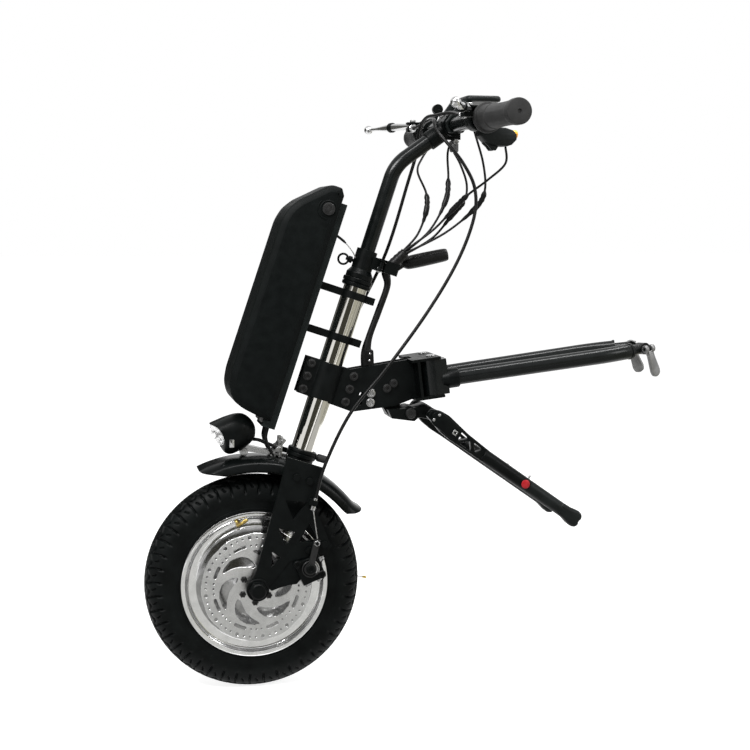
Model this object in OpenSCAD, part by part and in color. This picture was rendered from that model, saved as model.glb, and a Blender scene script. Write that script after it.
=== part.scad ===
// Front-wheel power attachment for a wheelchair: hub-motor wheel, plate fork, head tube with battery,
// bent handlebar post, two docking arms and a raised double-leg stand.
// X points to the rear, Y to the right-hand side, Z up. Lengths are in millimetres.

/* [Overall] */
// Distance from the axle back to the rear end of the docking arms
reach = 626; // [618:1:634]
// Tilt of the head tube from upright, in degrees
head_tilt = 18.5; // [17:0.5:20]
// Height of the head tube's lower end above the axle, along the tube
crown_rise = 201.6; // [200:0.2:204]
// Distance of the axle in front of the steering axis
fork_offset = 11.7; // [11:0.1:13]
// Rise of the docking arms to the rear, in degrees
arm_rise = 7; // [5:0.5:9]
// Radial clearance of a running fit
run_fit = 0.05; // [0.03:0.01:0.1]
// Gap between pieces that move past each other
body_gap = 0.4; // [0.3:0.1:0.6]

/* [Wheel] */
// Radius of the tyre
tyre_r = 158.5; // [156:0.5:160]
// Width of the tyre
tyre_w = 57; // [55:1:59]
// Wall thickness of the tyre
tyre_wall = 4.5; // [4:0.5:6]
// Thickness of one tyre bead
bead_t = 8.9; // [8:0.1:10]
// Height of the rim's lips above the tyre's seat
rim_lip = 6.2; // [5.2:0.1:7.2]
// Radius of the seat under the tyre beads
seat_r = 101.3; // [100.5:0.1:102]
// Width between the rim's flanges
seat_w = 54; // [52:1:56]
// Thickness of one rim flange
flange_t = 4; // [3:0.5:5]
// Depth of the rim under the tyre's seat, at the dished ring's edge
rim_wall = 4.3; // [3.8:0.1:5.8]
// Depth of the rim's side dish below the flange
dish_depth = 7; // [6:0.5:8]
// How far each motor cover reaches past the hub shell's bore
shell_lap = 13; // [12:0.5:14]
// Width of the dished ring round each motor cover
dish_w = 12; // [10:0.5:14]
// Radius of the rotor seat on a motor cover
boss_r = 30; // [29:0.5:32]
// Height of the rotor seat above the middle of the wheel
boss_y = 46.4; // [46:0.1:47]
// Thickness of a motor cover at its rim
cover_t = 5; // [4:0.5:6]
// Outer radius of a wheel bearing
hub_bearing_r = 17.5; // [17:0.5:18]
// Width of a wheel bearing
hub_bearing_w = 11; // [10:0.5:12]
// Thickness of the magnet ring
magnet_t = 6; // [5:0.5:7]
// Width of the magnet ring and the stator
stator_w = 36; // [34:1:38]
// Air gap between stator and magnets
air_gap = 1.5; // [1:0.1:2]
// Number of stator teeth
stator_teeth = 18; // [12:3:24]
// Radius of the axle
axle_r = 8; // [7.5:0.1:8.5]
// Radius of a brake rotor
rotor_r = 80; // [78:0.5:82]
// Thickness of a brake rotor
rotor_t = 2; // [1.8:0.1:2.2]
// Width of a brake rotor's rubbed band
rotor_band = 16; // [14:0.5:18]
// Width of a rotor arm
rotor_arm_w = 10; // [9:0.5:11]
// Radius of the six rotor bolts' circle
rotor_pcd_r = 22; // [21.5:0.5:22.5]
// Radius of a small bolt's shank
small_bolt_r = 2.5; // [2.3:0.1:2.6]
// Radius of a small bolt's head
small_head_r = 4.5; // [4:0.1:5]
// Height of a small bolt's head
small_head_h = 3; // [2.5:0.5:3.5]
// Radius of the tyre valve
valve_r = 3; // [2.5:0.5:3]
// Length of the tyre valve outside the rim
valve_len = 13; // [10:1:14]
// Angle of the tyre valve behind the top of the wheel, in degrees
valve_angle = 105; // [95:1:115]
// Lean of the rotor arms, in degrees
rotor_lean = 25; // [20:1:30]
// Number of rotor bolts
rotor_bolt_count = 6; // [6:1:6]
// Number of holes in a rotor's rubbed band
rotor_hole_count = 24; // [18:6:30]

/* [Fork] */
// Inner face of a fork plate from the middle plane
fork_y = 58; // [57:0.5:60]
// Thickness of a fork plate
fork_t = 6; // [5:0.5:7]
// Depth of a fork plate, front to rear
fork_depth = 100; // [98:1:102]
// Radius of the round end at the axle
dropout_r = 16; // [15:0.5:18]
// Length of the crown, front to rear
crown_len = 38; // [36:1:40]
// Depth of the crown's underside below the head tube
crown_drop = 36; // [34:1:37]
// Height of the crown under the mudguard
crown_h = 15.5; // [14:0.5:15.5]
// Outer radius of the steerer tube
steer_r = 12.7; // [12.5:0.1:13]
// How far the steerer stands above the head tube
steer_rise = 38; // [34:1:42]
// Inner radius of the mudguard
mud_in = 184.5; // [182:0.5:186]
// Thickness of the mudguard
mud_t = 2.5; // [2:0.5:3]
// Half width of the mudguard
mud_half = 42; // [40:1:44]
// Depth of the mudguard's side skirts
mud_skirt = 16; // [12:1:18]
// Angle of the mudguard's rear end above level, in degrees
mud_rear = 33; // [30:1:36]
// Angle of the mudguard's front end above level, in degrees
mud_front = 115; // [110:1:118]
// Radius of a frame bolt's shank
bolt_r = 3; // [2.8:0.1:3.2]
// Radius of a frame bolt's head
head_r = 5; // [4.5:0.1:5.5]
// Height of a frame bolt's head
head_h = 4; // [3.5:0.5:5]
// Width of a cable stop beside its fork plate
cable_stop_w = 13; // [12:0.5:14]
// Length of a cable stop along the cable
cable_stop_len = 8; // [7:0.5:9]
// Radius of the axle nuts across corners
nut_r = 13; // [12:0.5:14]
// Height of the axle nuts
nut_h = 9; // [8:0.5:10]
// Radius of the axle washers
washer_r = 15; // [14:0.5:16]
// Thickness of the axle washers
washer_t = 1.5; // [1:0.5:2]

/* [Brakes] */
// Angle of the calipers above the fork's front-to-rear line
caliper_angle = 39.8; // [38:0.2:41]
// Inner face of a caliper from the middle plane
caliper_y0 = 40; // [39.5:0.1:41]
// Outer face of a caliper from the middle plane
caliper_y1 = 71; // [70:0.5:72]
// Inner end of a caliper from the axle
caliper_r0 = 63; // [62:0.5:64]
// Outer end of a caliper from the axle
caliper_r1 = 98; // [96:0.5:99]
// Length of a caliper round the rotor
caliper_w = 40; // [38:1:42]
// Thickness of a brake pad
pad_t = 1.6; // [1.5:0.1:1.7]
// Gap between pad and rotor
pad_gap = 0.3; // [0.3:0.05:0.4]
// Length of a caliper's arm
cal_arm_len = 44; // [40:1:46]
// Thickness of a caliper's arm
cal_arm_t = 4; // [3.5:0.5:5]
// Radius of a caliper arm's hub
cal_arm_r = 9; // [8:0.5:10]
// Lean of a caliper's arm, in degrees
cal_arm_lean = 55; // [50:1:60]

/* [Head tube] */
// Length of the head tube
head_len = 262; // [258:1:266]
// Outer radius of the head tube
tube_r = 17.5; // [17:0.1:18]
// Wall thickness of the head tube
tube_wall = 2.5; // [2:0.5:2.5]
// Radius of the headset cups
cup_r = 22; // [21.5:0.5:23]
// Height of a headset bearing seat
cup_seat = 7; // [6.5:0.5:8]
// Overlap of a headset cup on the tube
cup_lap = 6; // [5:0.5:7]
// Length of the rubber stop behind the lower cup
stop_len = 18; // [16:1:20]

/* [Stem clamp] */
// Radius of the clamp's skirt
skirt_r = 20; // [19:0.5:21]
// Height of the clamp's skirt
skirt_h = 7; // [6:0.5:8]
// Outer radius of the clamp
clamp_r = 15.5; // [15:0.5:16]
// Height of the clamp's top above the head tube
clamp_top = 51; // [49:1:53]
// Length of the clamp's lugs behind the post
lug_len = 14; // [13:0.5:15]
// Half width of the clamp's lugs
lug_half = 12; // [11:0.5:13]
// Height of the clamp's lugs
lug_h = 18; // [17:0.5:20]
// Width of the clamp's slit
slit_w = 3; // [2:0.5:4]
// Length of the clamp lever
clamp_lever_len = 26; // [24:1:28]
// Radius of the pull pin
pull_pin_r = 2.5; // [2:0.5:3]
// Radius of the pull ring
pull_ring_r = 7.5; // [7:0.5:9]
// Radius of the pull ring's wire
pull_wire_r = 1.6; // [1.5:0.1:1.8]

/* [Handlebar] */
// Radius of the handlebar post and the bar
post_r = 11.1; // [11:0.1:11.2]
// Wall thickness of the post and the bar
post_wall = 2; // [1.5:0.5:2.5]
// Length of the post inside the steerer
post_in = 120; // [110:5:130]
// Height of the post's bend above the head tube
bend_rise = 182; // [178:1:186]
// Angle of the post's bend, in degrees
bend_angle = 36.5; // [35:0.5:38]
// Radius of the post's bend
bend_r = 60; // [55:1:65]
// Length of the post from its bend to the bar
post_top = 101; // [99:1:103]
// Distance from the middle at which the bar sweeps back
sweep_y = 70; // [66:1:74]
// Sweep of the bar's ends, in degrees
sweep = 3.9; // [3:0.1:5]
// Radius of the bar's sweeping bend
sweep_r = 100; // [90:5:110]
// Length of a swept bar end
bar_end = 212; // [208:1:216]
// Radius of the grips
grip_r = 16.5; // [16:0.5:17]
// Length of the grips
grip_len = 120; // [116:1:124]
// Radius of the grips' inner ring
grip_ring_r = 21; // [20:0.5:22]
// Width of the grips' inner ring
grip_ring_w = 6; // [5:0.5:7]
// Radius of the clamp that joins post and bar
bar_clamp_r = 16; // [15.5:0.5:17]
// Half width of the bar clamp
bar_clamp_half = 22; // [20:1:24]
// Length of the bar clamp's socket on the post
socket_len = 40; // [38:1:42]
// Radius of the bar clamp's socket
socket_r = 14; // [13.5:0.5:14.5]

/* [Controls] */
// Place of the lever perches along the swept bar
perch_s = 78; // [76:1:80]
// Width of a lever perch
perch_w = 16; // [15:1:17]
// Radius of a lever perch's clamp
perch_r = 15.5; // [15:0.5:16]
// Distance of a lever's pivot in front of the bar
lever_x = 23; // [22:0.5:24]
// Height of a lever's pivot above the bar
lever_z = 11; // [10:0.5:12]
// Thickness of a brake lever
lever_t = 5; // [4.5:0.5:5.5]
// Length of a brake lever from pivot to ball
lever_len = 120; // [116:1:122]
// Width of a brake lever's blade
lever_w = 10; // [9:0.5:11]
// Radius of a brake lever's ball
ball_r = 7; // [6.5:0.5:7.5]
// Angle between a brake lever and its grip, in degrees
lever_angle = 28; // [26:0.5:30]
// Radius of the cable adjusters
adjuster_r = 5; // [4.5:0.5:5.5]
// Length of the cable adjusters
adjuster_len = 18; // [16:1:20]
// Length of the display, front to rear
display_len = 54; // [50:1:56]
// Width of the display
display_w = 80; // [76:1:84]
// Thickness of the display
display_t = 9; // [8:0.5:10]
// Height of the display's underside above the bar
display_z = 33; // [31:1:35]
// Distance of the display's front edge behind the bar
display_x = 14; // [12:1:16]
// Thickness of the display's glass
glass_t = 1.5; // [1:0.5:2]
// Place of the switch box along the swept bar
switch_s = 40; // [38:1:42]
// Width of the switch box
switch_w = 24; // [22:1:26]
// Length of the switch box behind the bar
switch_len = 41; // [38:1:43]
// Height of the switch box
switch_h = 27; // [25:1:29]
// Radius of the horn button
button_r = 6; // [5:0.5:7]
// Travel of the horn button
button_travel = 2; // [1.5:0.5:2.5]
// Place of the throttle body along the swept bar
throttle_s = 38; // [36:1:40]
// Width of the throttle body
throttle_w = 20; // [18:1:20]
// Width of the throttle paddle's hub
paddle_w = 7; // [6:0.5:8]
// Height of the throttle paddle above the bar
paddle_z = 38; // [36:1:40]
// Radius of the throttle paddle's pad
paddle_r = 8; // [7:0.5:9]
// Lean of the throttle paddle, in degrees
paddle_lean = 20; // [15:1:25]
// Radius of the buzzer
buzzer_r = 6.5; // [6:0.5:7]
// Height of the buzzer
buzzer_h = 18; // [16:1:20]

/* [Lamp] */
// Distance of the lamp's brow in front of the steering axis
lamp_x = 144; // [142:1:146]
// Depth of the lamp's underside below the head tube
lamp_z = 33; // [32:0.5:34]
// Length of the lamp, front to rear
lamp_len = 69; // [66:1:70]
// Height of the lamp
lamp_h = 61; // [58:1:61]
// Width of the lamp
lamp_w = 60; // [56:1:64]
// Thickness of the lamp's lens
lens_t = 3; // [2.5:0.5:3.5]
// Wall thickness of the lamp's housing
lamp_wall = 3; // [2.5:0.5:3.5]
// Depth of the lamp's bowl behind its lens
bowl_depth = 15; // [14:1:16]
// Width of the lamp's bracket
lamp_bracket_w = 16; // [14:1:18]
// Thickness of the lamp's bracket
lamp_bracket_t = 4; // [3:0.5:5]

/* [Battery] */
// Width of the battery
battery_w = 90; // [86:1:94]
// Wall thickness of the battery's shells
battery_wall = 3; // [2.5:0.5:3.5]
// Distance from the steering axis to the battery's rear face
battery_back = 64.4; // [63:0.2:66]
// Depth of the battery, front to rear
battery_depth = 77; // [75:1:79]
// Height of the battery's lowest point above the head tube's lower end
battery_low = 33; // [32:0.5:36]
// Length of the battery
battery_len = 351; // [346:1:355]
// Thickness of the battery's rail
rail_t = 10; // [9:0.5:11]
// Width of the battery's rail
rail_w = 56; // [52:1:60]
// Width of the rail's tongue
tongue_w = 20; // [18:1:22]
// Height of the rail's tongue above the rail
tongue_h = 6; // [5:0.5:7]
// Height of a battery clamp
battery_clamp_h = 11; // [10:0.5:12]
// Drop of the lower battery clamp from the head tube's top
clamp_low_drop = 89; // [86:1:92]
// Drop of the upper battery clamp from the head tube's top
clamp_high_drop = 24; // [21:1:27]
// Radius of the battery clamps' rings
ring_r = 21; // [20.5:0.5:22]
// Radius of the key lock's flange
lock_r = 11; // [10:0.5:12]
// Radius of the key lock's barrel
lock_barrel_r = 8; // [7:0.5:9]

/* [Bracket] */
// Thickness of the clamp plates
plate_t = 5; // [4.5:0.5:6]
// Half gap between the clamp plates
plate_gap = 8; // [7.5:0.5:9]
// Radius of the clamp plates' bulge round the tube
bulge_r = 22.5; // [22:0.5:23]
// Length of the clamp plates in front of the steering axis
plate_front = 38; // [37:0.5:40]
// Height of the clamp plates' lower edge above the head tube's lower end
plate_low = 84; // [82:1:86]
// Height of the clamp plates' upper edge above the head tube's lower end
plate_high = 139; // [137:1:141]
// Distance of the plates' upper bend behind the steering axis
dip_x = 28; // [27:0.5:30]
// Distance of the plates' lower bend behind the steering axis
belly_x = 50; // [48:1:52]
// Depth of the plates' lower bend below their front lower corner
belly_drop = 4; // [3:0.5:5]
// Half height of the plates at the hinge bracket
rear_half = 29; // [28:0.5:30]
// Distance of the plates' heel in front of the hinge bracket
heel_x = 34; // [32:1:36]
// Depth of the plates' heel below the middle of the hinge bracket
heel_z = 37; // [36:0.5:38]
// Radius of the two open holes in the plates
sight_hole_r = 4; // [3.5:0.5:4]
// Distance of the clamp bolts in front of the steering axis
bolt_front = 30; // [29:0.5:31]
// Distance of the clamp bolts behind the steering axis
bolt_back = 36.5; // [36:0.5:38]
// Distance of the hinge bracket behind the axle
hinge_x = 243; // [240:1:245]
// Height of the hinge bracket above the ground
hinge_z = 454; // [452:1:456]
// Half height of the arm sockets
socket_half = 26; // [25:0.5:27]
// Thickness of the hinge bracket's plates
hinge_t = 4; // [3.5:0.5:5]
// Half width of the hinge bracket
hinge_half = 44; // [42:0.5:46]
// Length of the hinge bracket's tongue between the clamp plates
tongue_len = 52; // [50:1:54]
// Height of the hinge bracket's tongue
tongue_tall = 32; // [30:1:34]
// Depth of the tongue's underside below the middle of the hinge bracket
tongue_low = 20; // [19:1:21]
// Distance of a hinge pin behind the hinge bracket's end plate
hinge_pin_x = 26; // [25.5:0.5:28]
// Distance of a hinge pin from the middle plane
hinge_pin_y = 23; // [22.5:0.5:24]
// Radius of a hinge pin
hinge_pin_r = 5; // [4.5:0.5:5.5]

/* [Docking arms] */
// Radius of an arm's knuckle
knuckle_r = 19; // [18:0.5:19.5]
// Length of an arm's socket behind its pin
socket_back = 18; // [17:0.5:20]
// Radius of an arm's tube
arm_r = 11.5; // [11:0.5:12]
// Wall thickness of an arm's tube
arm_wall = 2; // [1.5:0.5:2.5]
// Distance of an arm's tube from the middle plane at its socket
arm_y = 33; // [32:0.5:34]
// Depth of an arm's tube below the middle of its socket
arm_drop = 5; // [4:0.5:8]
// Outward slant of an arm's straight run, in degrees
arm_slant = 2; // [1:0.5:3]
// Angle of an arm's inward bend, in degrees
arm_bend = 22; // [20:0.5:24]
// Radius of an arm's inward bend
arm_bend_r = 160; // [150:5:170]
// Radius of an arm's spigot
spigot_r = 7.5; // [7:0.5:8]
// Length of an arm's spigot
spigot_len = 22; // [20:1:24]
// Radius of the eye at an arm's end
eye_r = 9; // [8.5:0.5:10]
// Width of the eye at each docking arm's end
eye_t = 16; // [15.5:0.5:18]
// Radius of a docking pin
dock_pin_r = 5; // [4.5:0.5:5.5]
// Length of a docking pin beside its eye
dock_pin_len = 13; // [12:0.5:14]
// Length of a docking lever
dock_lever_len = 46; // [44:1:48]
// Width of a docking lever at its tip
dock_lever_w = 18; // [17:0.5:19]
// Lean of a docking lever to the rear, in degrees
dock_lean = 14; // [12:1:18]

/* [Stand] */
// Distance of the stand's pivot behind the axle
stand_x = 234; // [232:1:236]
// Height of the stand's pivot above the ground
stand_z = 403; // [401:1:405]
// Slope of the raised stand below level, in degrees
stand_slope = 35.3; // [34:0.1:37]
// Radius of the stand's pivot barrel
stand_barrel_r = 10; // [9.5:0.5:10]
// Radius of the stand's pivot bolt
stand_pin_r = 5; // [4.5:0.5:5.5]
// Half width of the stand's pivot barrel
stand_barrel_half = 17; // [16:0.5:18]
// Length of the stand's mount in front of the pivot
mount_len = 65; // [64:0.5:66]
// Height of the stand's mount above the pivot
mount_h = 38; // [37:0.5:38.5]
// Thickness of the stand mount's lugs
stand_lug_t = 8; // [7:0.5:9]
// Distance of the stand's legs from the middle plane
leg_y = 55; // [53:0.5:57]
// Thickness of the stand's leg plates
leg_t = 14; // [13:0.5:15]
// Length of the stand's leg plates from the pivot
leg_plate_len = 124; // [122:1:126]
// Height of the stand's leg plates above the pivot
leg_plate_h = 29; // [28:0.5:30]
// Height of the legs' middle line above the pivot, in the stand's frame
leg_rise = 10; // [9:0.5:11]
// Outer radius of a leg's sleeve
sleeve_r = 10; // [9.5:0.5:10.5]
// Radius of a sliding leg
leg_r = 7.5; // [7:0.5:8]
// Length along the stand to the sleeves' upper end
sleeve_start = 118; // [116:1:120]
// Length along the stand to the sleeves' lower end
sleeve_end = 204; // [200:1:208]
// Length along the stand to the feet's ends
foot_end = 304; // [300:1:308]
// Length of a foot
foot_len = 38; // [36:1:40]
// Width of a foot
foot_w = 26; // [24:1:28]
// Radius of a release button
release_r = 4; // [3.5:0.5:4.5]
// Travel of a release button
release_travel = 2.5; // [2:0.5:3]
// Travel of a sliding leg
leg_travel = 55; // [50:1:56]

/* [Leads] */
// Radius of a brake cable
cable_r = 2.5; // [2.3:0.1:2.7]
// Radius of a control lead
lead_r = 1.7; // [1.5:0.1:1.9]
// Radius of a control lead's plug
plug_r = 4.2; // [3.8:0.2:4.6]
// Radius of the wiring harness
harness_r = 5; // [4.5:0.5:5.5]
// Radius of the harness boot
boot_r = 8; // [7.5:0.5:8.5]
// Radius of a motor lead
motor_lead_r = 2.5; // [2.3:0.1:2.7]

/* [Hidden] */
$fn = 64;
overrun = 1;
half_share = 0.5;
head_x = fork_offset * cos(head_tilt) + crown_rise * sin(head_tilt);
head_z = tyre_r - fork_offset * sin(head_tilt) + crown_rise * cos(head_tilt);
origin_x = (reach - tyre_r) * half_share;
seat_half = seat_w * half_share;
rim_half = seat_half + flange_t;
dish_half = rim_half - dish_depth;
mud_out = mud_in + mud_t;
fork_out = fork_y + fork_t;
cup_top = head_len + cup_seat;
skirt_z = cup_top + body_gap;
bend_tan = bend_r * tan(bend_angle * half_share);
bar_x = post_top * sin(bend_angle);
rim_r = seat_r + rim_lip;
dish_r = seat_r - rim_wall;
cover_r = dish_r - dish_w;
shell_bore = cover_r - shell_lap;
steer_top = head_len + steer_rise;
post_low = steer_top - post_in;
bend_z = head_len + bend_rise;
clamp_low_z = head_len - clamp_low_drop;
clamp_high_z = head_len - clamp_high_drop;
bar_z = bend_z + post_top * cos(bend_angle);
socket_z = socket_half + body_gap;
rail_front = battery_back - body_gap;
rail_back = rail_front - rail_t;
battery_half = battery_w * half_share;
stand_lug_y = stand_barrel_half + body_gap + stand_lug_t;
clamp_pin_x = clamp_r + lug_len * half_share;
clamp_pin_z = head_len + clamp_top - lug_h * half_share - lug_half * half_share;

// Outline of the battery from the side, as shares of its depth and length
battery_shares = [[0, 0.985], [0.03, 1], [0.3, 1], [0.78, 0.9], [0.92, 0.855], [0.985, 0.8], [1, 0.15],
  [0.96, 0.09], [0.82, 0.04], [0.57, 0.019], [0.12, 0], [0, 0.02]];
// The battery's hollow and the ends of its cells, as shares of the same
cavity_shares = [[0.13, 0.05], [0.13, 0.965], [0.28, 0.965], [0.72, 0.88], [0.87, 0.835], [0.94, 0.785],
  [0.955, 0.155], [0.91, 0.105], [0.79, 0.065], [0.57, 0.045]];
cell_shares = [0.16, 0.78];
// Outline of the lamp from the side, as shares of its length and height
lamp_shares = [[0, 0.557], [0.319, 0.852], [0.536, 1], [0.71, 1], [0.87, 0.869], [1, 0.672],
  [0.986, 0.475], [0.783, 0.18], [0.58, 0], [0.464, 0.016], [0.391, 0.115], [0.246, 0.393],
  [0.116, 0.525]];
// Ends of the lamp's lens and place of its pivot, as shares of the same
lens_low_share = [0.449, 0.115];
lens_high_share = [0.145, 0.508];
lamp_pivot_share = [0.841, 0.311];
lens_low = in_lamp([lens_low_share])[0];
lens_high = in_lamp([lens_high_share])[0];
lamp_pivot = in_lamp([lamp_pivot_share])[0];
lens_up = unit(lens_high - lens_low);
lens_in = [lens_up.y, -lens_up.x];
// A fork plate's outline, windows and caliper bolts, as shares of its depth and the crown's rise
fork_shares = [[-0.3, -0.03], [0.26, -0.03], [0.29, -0.228], [0.33, -0.332], [0.72, -0.556],
  [0.66, -0.615], [0.2, -0.744], [0.04, -0.942], [-0.26, -1.017], [-0.22, -0.873], [-0.26, -0.397]];
fork_window_shares = [[[-0.14, -0.327], [0.18, -0.298], [0.06, -0.446]],
  [[-0.1, -0.536], [0.15, -0.526], [0.07, -0.64]],
  [[-0.09, -0.709], [0.06, -0.734], [-0.03, -0.818]],
  [[0.3, -0.437], [0.52, -0.551], [0.24, -0.59]]];
caliper_bolt_shares = [[0.42, -0.625], [0.6, -0.556]];
crown_bolt_shares = [-0.24, 0.29];
cable_stop_share = [0.26, -0.283];
// Lug of a caliper on its fork plate, and the relief round that plate, as shares of the same
caliper_lug_shares = [[0.28, -0.585], [0.62, -0.516], [0.74, -0.556], [0.66, -0.704], [0.4, -0.704]];
caliper_relief_shares = [[0, -0.298], [0.33, -0.327], [0.73, -0.551], [0.67, -0.62], [0.2, -0.749],
  [0, -0.744]];
// Clamp bolts up the plates, and bolts along and up the hinge bracket's tongue
clamp_bolt_shares = [0.13, 0.49, 0.85];
tongue_bolt_shares = [[-0.62, 0.53], [-0.83, 0.34]];
// The stand mount's outlines and holes from the pivot, as shares of its length and height
mount_shares = [[-1, 1], [-0.754, 1], [-0.708, 0.526], [-0.185, 0.316], [-0.185, -0.184],
  [-0.431, -0.184], [-0.585, 0.211], [-1, 0.211]];
bridge_shares = [[-0.523, 0.158], [-0.2, 0.158], [-0.2, -0.184], [-0.431, -0.184]];
mount_lug_shares = [[-0.523, 0.158], [0.123, 0.211], [0.185, -0.184], [0.092, -0.316],
  [-0.431, -0.184]];
mount_bolt_shares = [[-0.877, 0.789], [-0.892, 0.421]];
sight_hole_shares = [[-1.092, 0.737], [-1.138, 0.421]];
// The stand's leg plates, windows, neck and cross-piece from the pivot, as shares of a plate's size
leg_shares = [[0.113, 0.345], [0.113, 0.828], [0.323, 1], [0.637, 0.793], [1, 0.69], [1, 0],
  [0.685, 0], [0.444, 0]];
leg_window_shares = [[[0.242, 0.483], [0.242, 0.759], [0.468, 0.69], [0.435, 0.276]],
  [[0.532, 0.276], [0.548, 0.621], [0.79, 0.517], [0.758, 0.276]]];
neck_shares = [[0, 0.276], [0.113, 0.828], [0.323, 0.931], [0.355, 0.483], [0.161, 0.138],
  [0.065, -0.207]];
cross_shares = [[0.21, 0.414], [0.21, 0.897], [0.339, 0.931], [0.355, 0.483]];

// Routes of the leads: place behind the axle, side and height, then radii as shares of the lead's
cable_left_route = [[279, 137.5, 831], [282, 110, 834], [283, 60, 838], [279, 20, 836], [273, -6, 832],
  [271, -30, 816], [284, -46, 796], [304, -56, 768], [320, -60, 733], [318, -64, 690], [293, -66, 627],
  [249, -66, 555], [189, -66, 475], [135, -68, 411], [98, -72, 340], [84, -72, 292], [79.5, -72, 277],
  [79.3, -72, 276], [82, -73, 256], [85.5, -73.4, 231.3]];
cable_right_route = [[279, -137.5, 831], [281, -110, 834], [280, -70, 839], [270, -34, 838], [262, 0, 836],
  [257, 24, 818], [258, 38, 790], [246, 44, 745], [212, 42, 640], [165, 40, 545], [130, 42, 470],
  [112, 56, 410], [98, 72, 340], [84, 72, 292], [79.5, 72, 277], [79.3, 72, 276], [82, 73, 256], [85.5, 73.4, 231.3]];
wire_points = 3;
wire_share = 0.36;
function cable_shares(route) = [for (i = [1 : len(route)]) i > len(route) - wire_points ? wire_share : 1];
boot_top = [232, 4, 640];
boot_low = [204, 6, 612];
boot_axis = [sqrt(half_share), 0, sqrt(half_share)];
function boot_turn(i) = 60 + 72 * i;
function boot_end(i) = boot_top + body_gap * boot_axis + 2 * (lead_r + run_fit)
  * (cos(boot_turn(i)) * [0, 1, 0] + sin(boot_turn(i)) * [-boot_axis.z, 0, boot_axis.x]);
lead_points = [
  [[302, 125, 805], [280, 96, 782], [262, 50, 760], [268, 20, 727], [266, 12, 700], [252, 8, 666]],
  [[322, 24.5, 857.5], [320, 25.5, 826], [303, 25.5, 792], [303, 24, 750], [296, 12, 716], [270, 6, 672]],
  [[346, -124, 788], [352, -104, 766], [336, -70, 744], [316, -40, 724], [300, -20, 704], [272, -4, 672]],
  [[305, 0, 786.5], [314, -5, 768], [322, -10, 740], [318, -12, 716], [300, -8, 694], [274, 0, 662]],
  [[322, -24, 857.5], [326, -30, 822], [340, -34, 770], [344, -30, 730], [332, -20, 704], [290, -6, 668]]];
lead_order = [0, 4, 1, 3, 2];
lead_routes = [for (i = [0 : len(lead_points) - 1]) concat(lead_points[i], [boot_end(lead_order[i])])];
lead_shares = [1, 1, 1, plug_r / lead_r, plug_r / lead_r, 1, 1];
harness_points = [[218, 5, 626], [205, 4, 590], [191, 2, 552], [177, 0, 516], [172, 0, 492], [172, 0, 470]];
harness_route = concat([boot_top, harness_points[0], boot_low],
  [for (i = [1 : len(harness_points) - 1]) harness_points[i]]);
boot_share = boot_r / harness_r;
harness_shares = [1.3, boot_share, 1.4, 1, 1, 1, 1.5, 1.5];
spare_points = [[220, 20, 614], [238, 24, 623], [242, 24, 624], [292, 26, 634], [302, 26, 636]];
spare_route = concat([boot_low], spare_points);
spare_shares = [0.9, 0.9, 0.9, 2, 2, 1.7];
motor_lead_sides = [-14, 12, 19];
motor_lead_points = [[23, 386.5], [20, 372], [24, 358], [31, 345]];
motor_lead_routes = [for (y = motor_lead_sides) [for (p = motor_lead_points) [p.x, y, p.y]]];
lead_sides = 8;
lead_steps = 2;

// Points of an outline from its shares, size and starting place
function placed(shares, size, at = [0, 0]) = [for (s = shares) [at.x + s.x * size.x, at.y + s.y * size.y]];

// Frames: the whole part, the head tube, the axle, the bar, one bar end, the hinge bracket and the stand
module in_frame() translate([-origin_x, 0, 0]) children();
module at_column(z = 0) in_frame() translate([head_x, 0, head_z]) rotate([0, head_tilt, 0])
  translate([0, 0, z]) children();
module at_axle() in_frame() translate([0, 0, tyre_r]) children();
module at_bar() at_column() translate([bar_x, 0, bar_z]) rotate([0, -head_tilt, 0]) children();
module at_bar_end(s) translate([sweep_r * (1 - cos(sweep)), -sweep_y - sweep_r * sin(sweep), 0])
  rotate([0, 0, sweep]) translate([0, -s, 0]) children();
module at_hinge() in_frame() translate([hinge_x, 0, hinge_z]) rotate([0, -arm_rise, 0]) children();
module at_stand() in_frame() translate([stand_x, 0, stand_z]) rotate([0, stand_slope, 0]) children();
module at_fork_axle() at_column() translate([-fork_offset, 0, -crown_rise]) children();
module pair() {
  children();
  mirror([0, 1, 0]) children();
}

// Shapes: a turned ring across the vehicle, a slab, a rod across it and a box by its limits
module across() rotate([90, 0, 0]) rotate_extrude($fn = 128) children();
module slab(y0, y1) translate([0, y1, 0]) rotate([90, 0, 0]) linear_extrude(y1 - y0) children();
module rod(r, y0, y1) translate([0, y1, 0]) rotate([90, 0, 0]) cylinder(r = r, h = y1 - y0);
module box(lo, hi) translate(lo) cube(hi - lo);
module tube(r, bore, h) difference() {
  cylinder(r = r, h = h);
  translate([0, 0, -overrun]) cylinder(r = bore, h = h + 2 * overrun);
}
module bolt(r, wide, tall, y0, y1) {
  rod(r, y0, y1);
  rod(wide, y0 - tall, y0);
}

// Leads: points rounded between the route's own, and a swept tube
function xyz(p) = [p.x, p.y, p.z];
function unit(v) = v / norm(v);
function blend(a, b, c, d, t) = half_share * (2 * b + (c - a) * t + (2 * a - 5 * b + 4 * c - d) * t * t
  + (3 * b - a - 3 * c + d) * t * t * t);
function rounded(p) = let (n = len(p) - 1) concat([for (i = [0 : n - 1], k = [0 : lead_steps - 1])
  blend(p[max(i - 1, 0)], p[i], p[i + 1], p[min(i + 2, n)], k / lead_steps)], [p[n]]);
function sized(route, r, shares) = [for (i = [0 : len(route) - 1])
  concat(route[i], r * (shares == [] ? 1 : shares[i]))];
function heading(p, i) = unit(xyz(p[min(i + 1, len(p) - 1)]) - xyz(p[max(i - 1, 0)]));
function carried(s, t) = unit(s - (s * t) * t);
function sides(p, s, i = 0) = i == len(p) ? [] :
  let (here = carried(s, heading(p, i))) concat([here], sides(p, here, i + 1));
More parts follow.
